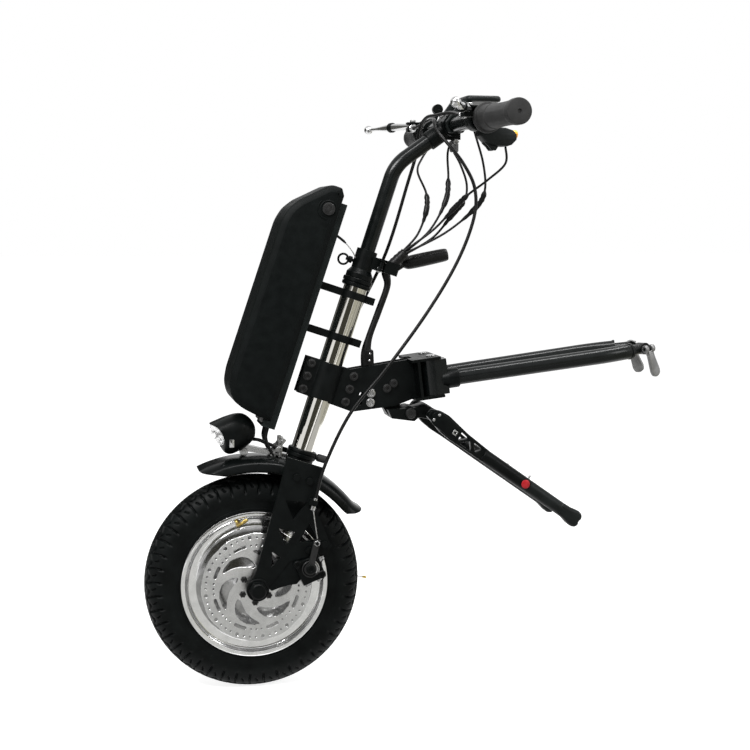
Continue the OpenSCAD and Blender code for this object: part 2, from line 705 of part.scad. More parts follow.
module lead(route, r, shares = []) {
  p = rounded(sized(route, r, shares));
  first = abs(heading(p, 0).z) < half_share ? [0, 0, 1] : [0, 1, 0];
  s = sides(p, first);
  n = lead_sides;
  points = [for (i = [0 : len(p) - 1], k = [0 : n - 1]) let (t = heading(p, i), u = cross(t, s[i]))
    xyz(p[i]) + p[i][3] * (cos(360 * k / n) * s[i] + sin(360 * k / n) * u)];
  skin = [for (i = [0 : len(p) - 2], k = [0 : n - 1])
    [i * n + k, (i + 1) * n + k, (i + 1) * n + (k + 1) % n, i * n + (k + 1) % n]];
  ends = [[for (k = [0 : n - 1]) k], [for (k = [n - 1 : -1 : 0]) (len(p) - 1) * n + k]];
  polyhedron(points, concat(skin, ends));
}

// Wheel
module tyre() color("#1b1c1e") at_axle() across() difference() {
  middle = tyre_r - tyre_w * half_share;
  bead = seat_half - run_fit;
  union() {
    translate([middle, 0]) circle(tyre_w * half_share);
    for (y = [-bead, bead - bead_t]) translate([seat_r, y]) square([middle - seat_r, bead_t]);
  }
  translate([middle, 0]) circle(tyre_w * half_share - tyre_wall);
  translate([0, -bead + bead_t]) square([middle, 2 * (bead - bead_t)]);
  translate([0, -tyre_w]) square([seat_r + run_fit, 2 * tyre_w]);
  for (y = [-tyre_w - bead - run_fit * half_share, bead + run_fit * half_share])
    translate([0, y]) square([rim_r + run_fit, tyre_w]);
}

module hub_shell() color("#c9ccd0") at_axle() difference() {
  across() polygon([[shell_bore, -dish_half], [dish_r, -dish_half], [dish_r + dish_depth, -rim_half],
    [rim_r, -rim_half], [rim_r, -seat_half], [seat_r, -seat_half], [seat_r, seat_half], [rim_r, seat_half],
    [rim_r, rim_half], [dish_r + dish_depth, rim_half], [dish_r, dish_half], [shell_bore, dish_half]]);
  at_valve() rod(valve_r + run_fit, -rim_half, -dish_half + valve_r);
}

module at_valve() rotate([0, -valve_angle, 0]) translate([cover_r + 2 * valve_r, 0, 0]) children();

module valve() color("#b08a4a") at_axle() at_valve() {
  rod(valve_r, -dish_half - valve_len, -dish_half + valve_r);
}

module motor_covers() color("#b9bcc0") at_axle() pair() difference() {
  inner = dish_half + run_fit;
  seat_y = inner + hub_bearing_w + cover_t * half_share;
  across() polygon([[hub_bearing_r, inner], [hub_bearing_r, seat_y], [axle_r + valve_r, seat_y],
    [axle_r + valve_r, boss_y], [boss_r, boss_y], [boss_r + run_fit, boss_y - 2 * cover_t],
    [cover_r - cover_t, inner + cover_t], [cover_r, inner + cover_t * half_share], [cover_r, inner]]);
  at_rotor_bolts() rod(small_bolt_r + run_fit, -boss_y - overrun, -boss_y + 2 * cover_t);
}

module wheel_bearings() color("#9a9da2") at_axle() pair() across() {
  translate([axle_r + run_fit, dish_half + cover_t * half_share])
    square([hub_bearing_r - axle_r - 2 * run_fit, hub_bearing_w]);
}

module motor_magnets() color("#5c5f66") at_axle() across()
  translate([shell_bore - run_fit - magnet_t, -stator_w * half_share]) square([magnet_t, stator_w]);

module motor_stator() color("#8a5a2c") at_axle() difference() {
  stator_r = shell_bore - run_fit - magnet_t - air_gap;
  rod(stator_r, -stator_w * half_share, stator_w * half_share);
  rod(axle_r + run_fit, -stator_w, stator_w);
  for (i = [0 : stator_teeth - 1]) rotate([0, 360 * i / stator_teeth, 0])
    box([stator_r - 2 * axle_r, -stator_w, -cover_t * half_share],
      [stator_r + overrun, stator_w, cover_t * half_share]);
}

module brake_rotors() color("#a7aaae") at_axle() pair() slab(-boss_y - run_fit - rotor_t, -boss_y - run_fit)
  difference() {
    circle(rotor_r);
    difference() {
      circle(rotor_r - rotor_band);
      circle(boss_r - rotor_t);
      for (i = [1 : rotor_bolt_count]) rotate(360 * i / rotor_bolt_count) translate([rotor_pcd_r, 0])
        rotate(rotor_lean) translate([0, -rotor_arm_w * half_share])
          square([rotor_r - rotor_pcd_r - rotor_arm_w, rotor_arm_w]);
    }
    circle(axle_r + 2 * valve_r);
    for (i = [1 : rotor_bolt_count]) rotate(360 * i / rotor_bolt_count) translate([rotor_pcd_r, 0])
      circle(small_bolt_r + run_fit);
    for (i = [1 : rotor_hole_count]) rotate(360 * i / rotor_hole_count)
      translate([rotor_r - rotor_band * half_share, 0]) circle(small_bolt_r);
  }

module at_rotor_bolts() for (i = [1 : rotor_bolt_count]) rotate([0, 360 * i / rotor_bolt_count, 0])
  translate([rotor_pcd_r, 0, 0]) children();

module rotor_bolts() color("#26282b") at_axle() pair() at_rotor_bolts() bolt(small_bolt_r, small_head_r,
  small_head_h, -boss_y - 2 * run_fit - rotor_t, -boss_y + 2 * cover_t - overrun);

// Fork
function in_fork(shares) = placed(shares, [fork_depth, crown_rise]);

axle_half = fork_out + washer_t + nut_h + rotor_t;
module axle() color("#8d9196") at_axle() rod(axle_r, -axle_half, axle_half);

module fork_legs() color("#222427") pair() difference() {
  union() {
    at_column() slab(-fork_out, -fork_y) difference() {
      union() {
        polygon(in_fork(fork_shares));
        translate([-fork_offset, -crown_rise]) circle(dropout_r);
      }
      for (w = fork_window_shares) polygon(in_fork(w));
    }
    at_cable_stop() box([-cable_stop_len, -cable_stop_w, -cable_stop_len * half_share],
      [cable_stop_len * half_share, overrun, cable_stop_len * half_share]);
  }
  at_axle() rod(axle_r + run_fit, -fork_out - overrun, -fork_y + overrun);
  at_fork_bolts() rod(bolt_r + run_fit, -fork_out - overrun, -fork_y + overrun);
  at_cable_stop() translate([0, -cable_stop_len, -cable_stop_len])
    cylinder(r = cable_r + 2 * body_gap, h = 2 * cable_stop_len);
}

module at_cable_stop() at_column() translate([cable_stop_share.x * fork_depth, -fork_out,
  cable_stop_share.y * crown_rise]) children();

module at_fork_bolts() at_column() {
  for (s = crown_bolt_shares) translate([s * crown_len, 0, -crown_drop + 2 * bolt_r]) children();
  for (p = in_fork(caliper_bolt_shares)) translate([p.x, 0, p.y]) children();
}

module fork_crown() color("#2a2c30") {
  difference() {
    union() {
      at_column(-crown_drop) box([-crown_len * half_share, -fork_y + run_fit, 0],
        [crown_len * half_share, fork_y - run_fit, crown_h]);
      at_column(-crown_drop) cylinder(r = steer_r, h = crown_drop + steer_top);
    }
    at_column(-crown_drop - overrun)
      cylinder(r = post_r + run_fit, h = crown_drop + steer_top + 2 * overrun);
    pair() at_fork_bolts() rod(bolt_r + run_fit, -fork_y, -fork_y + 4 * bolt_r);
    at_column() pull_pin_hole();
  }
  difference() {
    at_column(-crown_drop * half_share)
      tube(skirt_r, steer_r + run_fit, crown_drop * half_share - cup_seat - body_gap);
    at_axle() rod(mud_out + run_fit, -fork_y, fork_y);
  }
}

module fork_fasteners() color("#a9acb0") {
  at_axle() pair() {
    difference() {
      union() {
        rod(washer_r, -fork_out - run_fit - washer_t, -fork_out - run_fit);
        translate([0, -fork_out - run_fit - washer_t, 0]) rotate([90, 0, 0])
          cylinder(r = nut_r, h = nut_h, $fn = 6);
      }
      rod(axle_r + run_fit, -fork_out - washer_t - nut_h - overrun, -fork_out + overrun);
    }
  }
  pair() at_fork_bolts() bolt(bolt_r, head_r, head_h, -fork_out - run_fit, -fork_y + 2 * bolt_r);
  at_column() translate([clamp_pin_x, 0, clamp_pin_z]) {
    rod(small_bolt_r, -lug_half - small_head_r - run_fit, lug_half + small_head_h);
    rod(small_head_r, lug_half + run_fit, lug_half + small_head_h);
    translate([0, -lug_half - body_gap - 2 * bolt_r, -lug_h * half_share]) cylinder(r = bolt_r, h = lug_h);
  }
}

module mudguard() color("#141517") difference() {
  skirt_in = mud_in - mud_skirt;
  side = mud_half - mud_t;
  at_axle() rotate([90, 0, 0]) rotate([0, 0, mud_rear])
    rotate_extrude(angle = mud_front - mud_rear, $fn = 128)
      polygon([[mud_in, -side], [skirt_in, -side], [skirt_in, -mud_half], [mud_out, -mud_half],
        [mud_out, mud_half], [skirt_in, mud_half], [skirt_in, side], [mud_in, side]]);
  at_column(-2 * crown_drop) cylinder(r = steer_r + run_fit, h = 2 * crown_drop);
  at_column(-crown_drop) box([-crown_len * half_share - body_gap, -fork_y, -crown_drop],
    [crown_len * half_share + body_gap, fork_y, crown_h + body_gap]);
}

// Lamp
function in_lamp(shares) = placed(shares, [lamp_len, lamp_h], [-lamp_x, -lamp_z]);

module lamp_bracket() color("#b4b7bb") at_column() difference() {
  slab(-lamp_bracket_w * half_share, lamp_bracket_w * half_share) polygon([
    [-skirt_r, -cup_seat - 2 * body_gap], [-skirt_r, -cup_seat - lamp_bracket_t - 2 * body_gap],
    lamp_pivot - [0, 2 * lamp_bracket_t], lamp_pivot - [lamp_bracket_t, 0],
    lamp_pivot + [lamp_bracket_t, lamp_bracket_t * half_share]]);
  translate([0, 0, -crown_drop]) cylinder(r = skirt_r + run_fit, h = crown_drop);
  translate([lamp_pivot.x, 0, lamp_pivot.y]) rod(bolt_r + run_fit, -lamp_w, lamp_w);
}

module lamp_housing() color("#1d1f22") at_column() difference() {
  low = lens_low - run_fit * lens_up;
  high = lens_high + run_fit * lens_up;
  seat = (lens_t + run_fit) * lens_in;
  slab(-lamp_w * half_share, lamp_w * half_share) polygon(in_lamp(lamp_shares));
  slab(-lamp_w * half_share + lamp_wall, lamp_w * half_share - lamp_wall) {
    polygon([low - 4 * lamp_wall * lens_in, high - 4 * lamp_wall * lens_in, high + seat, low + seat]);
    polygon([lens_low + lamp_wall * lens_up, lens_high - lamp_wall * lens_up,
      lens_high - 2 * lamp_wall * lens_up + bowl_depth * lens_in,
      lens_low + 2 * lamp_wall * lens_up + bowl_depth * lens_in]);
  }
  box([lamp_pivot.x - bowl_depth, -lamp_bracket_w * half_share - body_gap, -crown_drop],
    [lamp_pivot.x + bowl_depth, lamp_bracket_w * half_share + body_gap, lamp_pivot.y + 4 * lamp_wall]);
  translate([lamp_pivot.x, 0, lamp_pivot.y]) rod(bolt_r + run_fit, -lamp_w, lamp_w);
}

module lamp_lens() color("#dfe6ea") at_column()
  slab(-lamp_w * half_share + lamp_wall + run_fit, lamp_w * half_share - lamp_wall - run_fit)
    polygon([lens_low, lens_high, lens_high + lens_t * lens_in, lens_low + lens_t * lens_in]);

// Brakes
module at_caliper() at_fork_axle() rotate([0, -caliper_angle, 0]) children();

module brake_calipers() {
  caliper_bodies();
  brake_pads();
}

module caliper_bodies() color("#232528") pair() difference() {
  union() {
    at_caliper() box([caliper_r0, -caliper_y1, -caliper_w * half_share],
      [caliper_r1, -caliper_y0, caliper_w * half_share]);
    at_column() slab(-fork_y + run_fit, -rotor_band - caliper_y0 + pad_t)
      polygon(in_fork(caliper_lug_shares));
  }
  at_column() slab(-caliper_y1 - overrun, -fork_y + run_fit) polygon(in_fork(caliper_relief_shares));
  pad_room = pad_gap + pad_t + run_fit;
  at_caliper() box([caliper_r0 - overrun, -boss_y - run_fit - rotor_t - pad_room, -caliper_w],
    [rotor_r + 2 * pad_t, -boss_y - run_fit + pad_room, caliper_w]);
  at_fork_bolts() rod(bolt_r + run_fit, -fork_out, -caliper_y0);
  at_caliper() translate([(caliper_r0 + caliper_r1) * half_share, 0, 0])
    rod(bolt_r + run_fit, -caliper_y1 - overrun, -caliper_y1 + 3 * bolt_r);
}

module brake_pads() color("#6d4a38") at_caliper() pair()
  for (y = [-boss_y - run_fit - rotor_t - pad_gap - pad_t, -boss_y - run_fit + pad_gap])
    box([caliper_r0 + pad_t, y, -caliper_w * half_share + 2 * pad_t],
      [rotor_r - pad_t, y + pad_t, caliper_w * half_share - 2 * pad_t]);

module caliper_arm() color("#b5b8bc") at_caliper()
  translate([(caliper_r0 + caliper_r1) * half_share, 0, 0]) {
  y = -caliper_y1 - body_gap;
  rod(cal_arm_r, y - cal_arm_t, y);
  rod(bolt_r, y - cal_arm_t, y + 2 * bolt_r);
  rotate([0, -cal_arm_lean, 0])
    box([0, y - cal_arm_t, -cal_arm_r * half_share], [cal_arm_len, y, cal_arm_r * half_share]);
}
module caliper_arm_left() caliper_arm();
module caliper_arm_right() mirror([0, 1, 0]) caliper_arm();

// Stem clamp
module pull_pin_hole() translate([0, 0, head_len + clamp_top - lug_h - pull_pin_r]) rotate([0, -90, 0])
  cylinder(r = pull_pin_r + run_fit, h = 2 * clamp_r);

module stem_clamp() color("#25272a") at_column() difference() {
  union() {
    rotate_extrude() polygon([[0, skirt_z], [skirt_r, skirt_z], [skirt_r, skirt_z + skirt_h],
      [clamp_r, skirt_z + 2 * skirt_h], [clamp_r, head_len + clamp_top], [0, head_len + clamp_top]]);
    translate([0, 0, clamp_pin_z]) box([0, -lug_half, -lug_h * half_share],
      [clamp_r + lug_len, lug_half, lug_h * half_share]);
  }
  translate([0, 0, skirt_z - overrun])
    cylinder(r = steer_r + run_fit, h = steer_top + run_fit - skirt_z + overrun);
  translate([0, 0, steer_top]) cylinder(r = post_r + run_fit, h = 2 * clamp_top);
  box([0, -slit_w * half_share, skirt_z + 2 * skirt_h],
    [clamp_r + lug_len + overrun, slit_w * half_share, head_len + 2 * clamp_top]);
  translate([clamp_pin_x, 0, clamp_pin_z]) rod(small_bolt_r + run_fit, -2 * lug_half, 2 * lug_half);
  pull_pin_hole();
}

module clamp_lever() color("#2e3034") at_column()
  translate([clamp_pin_x, -lug_half - body_gap - 2 * bolt_r, clamp_pin_z]) difference() {
    union() {
      for (z = [-lug_h * half_share, lug_h * half_share - bolt_r]) translate([0, 0, z])
        cylinder(r = 2 * bolt_r, h = bolt_r);
      box([bolt_r + small_bolt_r, -2 * bolt_r, -lug_h * half_share],
        [clamp_lever_len, -bolt_r * half_share, lug_h * half_share]);
    }
    translate([0, 0, -lug_h]) cylinder(r = bolt_r + run_fit, h = 2 * lug_h);
  }

module pull_pin() color("#c3c6ca") at_column(head_len + clamp_top - lug_h - pull_pin_r) {
  rotate([0, -90, 0]) {
    translate([0, 0, post_r + body_gap]) cylinder(r = pull_pin_r, h = clamp_r);
    translate([0, 0, clamp_r + pull_pin_r]) cylinder(r = 2 * pull_pin_r, h = 2 * pull_pin_r);
  }
  translate([-clamp_r - 3 * pull_pin_r - pull_ring_r, 0, -pull_pin_r]) across()
    translate([pull_ring_r, 0]) circle(pull_wire_r, $fn = 24);
}

// Handlebar
module rod_bend(r, bend, angle) rotate_extrude(angle = angle, $fn = 96) translate([bend, 0]) circle(r);

module stem_post() color("#202225") at_column() difference() {
  union() {
    translate([0, 0, post_low]) cylinder(r = post_r, h = bend_z - bend_tan - post_low + overrun);
    translate([bend_r, 0, bend_z - bend_tan]) rotate([90, 0, 0]) rotate([0, 0, 180 - bend_angle])
      rod_bend(post_r + run_fit, bend_r, bend_angle);
    translate([bend_r * (1 - cos(bend_angle)), 0, bend_z - bend_tan + bend_r * sin(bend_angle)])
      rotate([0, bend_angle, 0]) translate([0, 0, -overrun])
        cylinder(r = post_r, h = overrun + post_top - bend_tan - bar_clamp_r - run_fit);
  }
  translate([0, 0, post_low - overrun])
    cylinder(r = post_r - post_wall, h = bend_z - bend_tan - post_low - post_r);
}

module bar_clamp() color("#26282b") difference() {
  union() {
    at_bar() rod(bar_clamp_r, -bar_clamp_half, bar_clamp_half);
    at_bar() box([-bar_clamp_r * half_share, -buzzer_r, -bar_clamp_r - 2 * post_wall],
      [bar_clamp_r * half_share + buzzer_r, buzzer_r, 0]);
    at_column() translate([bar_x, 0, bar_z]) rotate([0, bend_angle, 0]) translate([0, 0, -socket_len])
      cylinder(r = socket_r, h = socket_len);
  }
  at_bar() rod(post_r + run_fit, -2 * bar_clamp_half, 2 * bar_clamp_half);
  at_column() translate([bar_x, 0, bar_z]) rotate([0, bend_angle, 0]) translate([0, 0, -2 * socket_len])
    cylinder(r = post_r + run_fit, h = 2 * socket_len - bar_clamp_r);
}

module handlebar() color("#1f2124") at_bar() difference() {
  union() {
    rod(post_r, -sweep_y - overrun, sweep_y + overrun);
    pair() {
      translate([sweep_r, -sweep_y, 0]) rotate([0, 0, 180]) rod_bend(post_r + run_fit, sweep_r, sweep);
      at_bar_end(bar_end) rod(post_r, 0, bar_end + overrun);
    }
  }
  pair() at_bar_end(bar_end + overrun) rod(post_r - post_wall, 0, bar_end - post_r);
}

module grips() color("#3a3c40") at_bar() pair() difference() {
  union() {
    at_bar_end(bar_end + 2 * post_wall) rod(grip_r, 0, grip_len);
    at_bar_end(bar_end + 2 * post_wall) rod(grip_ring_r, grip_len - grip_ring_w, grip_len);
  }
  at_bar_end(bar_end + run_fit) rod(post_r + run_fit, 0, 2 * grip_len);
}

// Controls
module lever_perches() color("#232528") at_bar() pair() at_bar_end(perch_s) {
  difference() {
    union() {
      rod(perch_r, -perch_w, 0);
      box([-lever_x - lever_w, -perch_w, lever_z - 2 * lever_t], [0, 0, lever_z + lever_t + body_gap]);
    }
    rod(post_r + run_fit, -perch_w - overrun, overrun);
    slot = lever_t * half_share + body_gap;
    box([-lever_x - 2 * lever_w, -perch_w - overrun, lever_z - slot],
      [-lever_x + lever_w * half_share + 4 * body_gap, overrun, lever_z + slot]);
  }
  translate([-lever_x, -perch_w * half_share, lever_z - lever_t * half_share - body_gap - overrun])
    cylinder(r = bolt_r, h = lever_t + 2 * body_gap + 2 * overrun);
  translate([-lever_x - lever_t * half_share, 0, lever_z - lever_t])
    rod(adjuster_r * half_share, 0, adjuster_len);
}

module brake_lever() color("#c4c7cb") at_bar() at_bar_end(perch_s + perch_w * half_share)
  translate([-lever_x, 0, lever_z]) {
    translate([0, 0, -lever_t * half_share]) linear_extrude(lever_t) difference() {
      union() {
        circle(lever_w * half_share + overrun);
        rotate(-lever_angle) translate([-lever_w * half_share, -lever_len])
          square([lever_w, lever_len]);
      }
      circle(bolt_r + run_fit);
    }
    rotate([0, 0, -lever_angle]) translate([0, -lever_len, 0]) sphere(ball_r);
  }
module brake_lever_left() brake_lever();
module brake_lever_right() mirror([0, 1, 0]) brake_lever();

module throttle_body() color("#202225") at_bar() mirror([0, 1, 0]) at_bar_end(throttle_s) difference() {
  union() {
    rod(perch_r, -throttle_w, 0);
    box([-perch_r * half_share, -throttle_w, -perch_r - 2 * post_wall], [perch_r * half_share, 0, 0]);
  }
  rod(post_r + run_fit, -throttle_w - overrun, overrun);
}

module throttle_paddle() color("#1b1c1f") at_bar() mirror([0, 1, 0])
  at_bar_end(throttle_s + throttle_w + body_gap) {
    slab(-paddle_w, 0) difference() {
      union() {
        circle(perch_r);
        rotate(-paddle_lean) translate([-paddle_r * half_share, post_r])
          square([paddle_r, paddle_z - post_r]);
      }
      circle(post_r + run_fit);
    }
    rotate([0, paddle_lean, 0]) translate([0, 0, paddle_z])
      rod(paddle_r, -2 * paddle_w, -paddle_w * half_share);
  }

module display() {
  display_case();
  display_glass();
}

module display_case() color("#191b1d") at_bar() difference() {
  post_out = bar_clamp_half + 2 * paddle_w;
  post_in = bar_clamp_half + paddle_w;
  top = display_z + display_t;
  union() {
    box([display_x, -display_w * half_share, display_z],
      [display_x + display_len, display_w * half_share, top]);
    pair() {
      rod(perch_r, -post_out, -post_in);
      box([0, -post_out, 0], [display_x, -post_in, top]);
      box([0, -post_out, display_z], [2 * display_x, -post_in, top]);
    }
  }
  rod(post_r + run_fit, -display_w, display_w);
  box([display_x + 2 * glass_t, -display_w * half_share + 2 * glass_t, top - glass_t],
    [display_x + display_len - 2 * glass_t, display_w * half_share - 2 * glass_t, top + display_t]);
}

module display_glass() color("#0d1114") at_bar() {
  edge = 2 * glass_t + run_fit;
  top = display_z + display_t;
  box([display_x + edge, -display_w * half_share + edge, top - glass_t + run_fit],
    [display_x + display_len - edge, display_w * half_share - edge, top]);
}

module switch_box() color("#1d1f22") at_bar() at_bar_end(switch_s) difference() {
  union() {
    rod(perch_r, -switch_w, 0);
    box([0, -switch_w, -perch_r - switch_h + button_r], [perch_r + switch_len, 0, -post_r + post_wall]);
  }
  rod(post_r + run_fit, -switch_w - overrun, overrun);
  at_button() translate([0, 0, -2 * button_travel - button_r])
    cylinder(r = button_r + run_fit, h = 2 * button_r);
}

module at_button() translate([perch_r + switch_len, -switch_w * half_share, -post_r - button_r - post_wall])
  rotate([0, 90, 0]) children();

module horn_button() color("#f2a51e") at_bar() at_bar_end(switch_s) at_button()
  translate([0, 0, -button_r]) cylinder(r = button_r, h = button_r + 2 * button_travel);

module buzzer() color("#6f7276") at_bar()
  translate([buzzer_r, 0, -bar_clamp_r - 2 * post_wall - run_fit - buzzer_h])
    cylinder(r = buzzer_r, h = buzzer_h);

// Head tube
module head_tube() color("#d8d4c8") at_column() tube(tube_r, tube_r - tube_wall, head_len);

module cup() difference() {
  translate([0, 0, -cup_seat]) cylinder(r = cup_r, h = cup_seat + cup_lap);
  translate([0, 0, -cup_seat - overrun])
    cylinder(r = tube_r + tube_wall * half_share, h = cup_seat + overrun);
  translate([0, 0, -overrun]) cylinder(r = tube_r + run_fit, h = cup_lap + 2 * overrun);
}

module headset_cups() color("#2b2d31") {
  at_column() cup();
  at_column(head_len) mirror([0, 0, 1]) cup();
}

module headset_bearings() color("#8c8f94") for (z = [-cup_seat + body_gap, head_len + run_fit]) at_column(z)
  tube(tube_r + tube_wall * half_share - run_fit, steer_r + run_fit, cup_seat - body_gap - run_fit);

// Bracket
function in_column(p) = [head_x + p.x * cos(head_tilt) + p.y * sin(head_tilt),
  head_z - p.x * sin(head_tilt) + p.y * cos(head_tilt)];
function in_hinge(p) = [hinge_x + p.x * cos(arm_rise) - p.y * sin(arm_rise),
  hinge_z + p.x * sin(arm_rise) + p.y * cos(arm_rise)];
plate_outline = [in_column([-plate_front, plate_high]), in_column([dip_x, plate_high]),
  in_hinge([0, rear_half]), in_hinge([0, -rear_half]), in_hinge([-heel_x, -heel_z]),
  in_column([belly_x, plate_low - belly_drop]),
  in_column([-plate_front, plate_low])];
tongue_bolts = placed(tongue_bolt_shares, [tongue_len, tongue_tall], [0, -tongue_low]);
function in_mount(shares) = placed(shares, [mount_len, mount_h], [stand_x, stand_z]);

module clamp_plates() color("#1e2023") pair() difference() {
  union() {
    in_frame() slab(-plate_gap - plate_t, -plate_gap) polygon(plate_outline);
    intersection() {
      at_column(plate_low) cylinder(r = bulge_r, h = plate_high - plate_low);
      in_frame() box([0, -bulge_r, 0], [hinge_x, -plate_gap, 2 * hinge_z]);
    }
  }
  at_column() cylinder(r = tube_r + run_fit, h = head_len);
  at_bracket_bolts() rod(bolt_r + run_fit, -2 * bulge_r, 0);
  in_frame() for (p = in_mount(sight_hole_shares)) translate([p.x, 0, p.y])
    rod(sight_hole_r, -2 * bulge_r, 0);
}

module at_bracket_bolts() {
  for (s = clamp_bolt_shares, x = [-bolt_front, bolt_back])
    at_column(plate_low + s * (plate_high - plate_low)) translate([x, 0, 0]) children();
  for (p = tongue_bolts) at_hinge() translate([p.x, 0, p.y]) children();
  for (p = in_mount(mount_bolt_shares)) in_frame() translate([p.x, 0, p.y]) children();
}

module hinge_bracket() color("#2a2c2f") at_hinge() difference() {
  union() {
    box([0, -hinge_half, -socket_z], [hinge_t, hinge_half, socket_z]);
    for (z = [-socket_z - hinge_t, socket_z])
      box([-2 * hinge_t, -hinge_half, z], [hinge_pin_x + 2 * hinge_pin_r, hinge_half, z + hinge_t]);
    box([-tongue_len, -plate_gap + run_fit, -tongue_low],
      [hinge_t, plate_gap - run_fit, tongue_tall - tongue_low]);
  }
  for (p = tongue_bolts) translate([p.x, 0, p.y]) rod(bolt_r + run_fit, -2 * plate_gap, 2 * plate_gap);
  pair() translate([hinge_pin_x, -hinge_pin_y, -2 * socket_z])
    cylinder(r = hinge_pin_r + run_fit, h = 4 * socket_z);
  mirror([0, 0, 1]) box([-3 * hinge_t, -plate_gap - plate_t - run_fit, socket_z - overrun],
    [0, plate_gap + plate_t + run_fit, socket_z + hinge_t + overrun]);
  box([-3 * hinge_t, -plate_gap - plate_t - run_fit, socket_z - overrun],
    [0, plate_gap + plate_t + run_fit, socket_z + hinge_t + overrun]);
}

module frame_fasteners() color("#5d6064") {
  side = plate_gap + plate_t + run_fit;
  at_bracket_bolts() {
    bolt(bolt_r, head_r, head_h, -side, side);
    translate([0, side + head_h, 0]) rotate([90, 0, 0]) cylinder(r = head_r, h = head_h, $fn = 6);
  }
  at_hinge() pair() translate([hinge_pin_x, -hinge_pin_y, 0]) {
    pin_half = socket_z + hinge_t + head_h * half_share;
    translate([0, 0, -pin_half]) cylinder(r = hinge_pin_r, h = 2 * pin_half);
    for (end = [0, 1]) mirror([0, 0, end]) translate([0, 0, socket_z + hinge_t + run_fit])
      cylinder(r = hinge_pin_r + plate_t * half_share, h = head_h * half_share);
  }
  in_frame() translate([stand_x, 0, stand_z]) {
    lug = stand_lug_y + run_fit;
    rod(stand_pin_r, -lug, lug);
    pair() rod(stand_pin_r + bolt_r, -lug - head_h, -lug);
  }
  at_column(-cup_seat * half_share + cup_lap * half_share) translate([cup_r, 0, 0]) rotate([0, 90, 0])
    cylinder(r = head_r, h = stop_len);
}

// Battery
function in_battery(shares) = placed(shares, [-battery_depth, battery_len], [-battery_back, battery_low]);

module battery_clamps() color("#1f2124") for (z = [clamp_low_z, clamp_high_z]) at_column(z) difference() {
  union() {
    cylinder(r = ring_r, h = battery_clamp_h);
    box([-rail_back, -tongue_w * half_share, 0], [0, tongue_w * half_share, battery_clamp_h]);
    box([0, -tongue_w * half_share, 0], [ring_r + battery_clamp_h, tongue_w * half_share, battery_clamp_h]);
  }
  translate([0, 0, -overrun]) cylinder(r = tube_r + run_fit, h = 2 * battery_clamp_h);
  box([0, -slit_w * half_share, -overrun], [2 * ring_r, slit_w * half_share, 2 * battery_clamp_h]);
}

module battery_rail() color("#2f3236") at_column() {
  box([-rail_front, -rail_w * half_share, battery_low + rail_t * half_share],
    [-rail_back - run_fit, rail_w * half_share, battery_low + battery_len - 2 * rail_t]);
  box([-rail_front - tongue_h, -tongue_w * half_share, battery_low + 3 * rail_t],
    [-rail_front + overrun, tongue_w * half_share, battery_low + battery_len - 8 * rail_t]);
  box([-rail_front - rail_t, -rail_w * half_share, battery_low - rail_t - body_gap],
    [-rail_back - run_fit, rail_w * half_share, battery_low - body_gap]);
  box([-rail_front + body_gap, -rail_w * half_share, battery_low - rail_t - body_gap],
    [-rail_back - run_fit, rail_w * half_share, battery_low + rail_t]);
}

module battery_shells() color("#20262a") pair() at_column() difference() {
  slab(-battery_half, -run_fit) polygon(in_battery(battery_shares));
  slab(-battery_half + battery_wall, overrun) polygon(in_battery(cavity_shares));
  box([-battery_back - tongue_h - body_gap, -tongue_w * half_share - body_gap, 0],
    [0, overrun, battery_low + battery_len - 8 * rail_t + body_gap]);
  at_lock() rod(lock_barrel_r + run_fit, -battery_half - overrun, -battery_half + lock_r);
}

module at_lock() translate([-battery_back - 2 * lock_barrel_r - overrun, 0,
  battery_low + battery_len - 3 * lock_r - 2 * overrun]) children();

module battery_lock() color("#8e9196") at_column() at_lock() {
  rod(lock_barrel_r, -battery_half - body_gap, -battery_half + lock_r);
  rod(lock_r, -battery_half - body_gap - battery_wall, -battery_half - body_gap);
}

module battery_cells() color("#3f6f8f") at_column() {
  side = battery_half - battery_wall - run_fit;
  box([-battery_back - battery_depth + 3 * battery_wall, -side, battery_low + cell_shares[0] * battery_len],
    [-battery_back - tongue_h - 4 * battery_wall, side, battery_low + cell_shares[1] * battery_len]);
}

// Docking arms, drawn on the left-hand side
module at_arm_end(s) translate([hinge_pin_x + socket_back, -arm_y, -arm_drop]) rotate([0, 0, -arm_slant])
  translate([s, 0, 0]) children();
module at_spigot() at_arm_end(arm_run)
  translate([arm_bend_r * sin(arm_bend), arm_bend_r * (1 - cos(arm_bend)), 0])
    rotate([0, 0, arm_bend]) children();
arm_run = (reach - hinge_x) / cos(arm_rise) - hinge_pin_x - socket_back - arm_bend_r * sin(arm_bend)
  - spigot_len - 2 * eye_r - dock_pin_r - dock_lever_w * half_share;
cam_y = eye_t * half_share + body_gap + 2 * bolt_r;

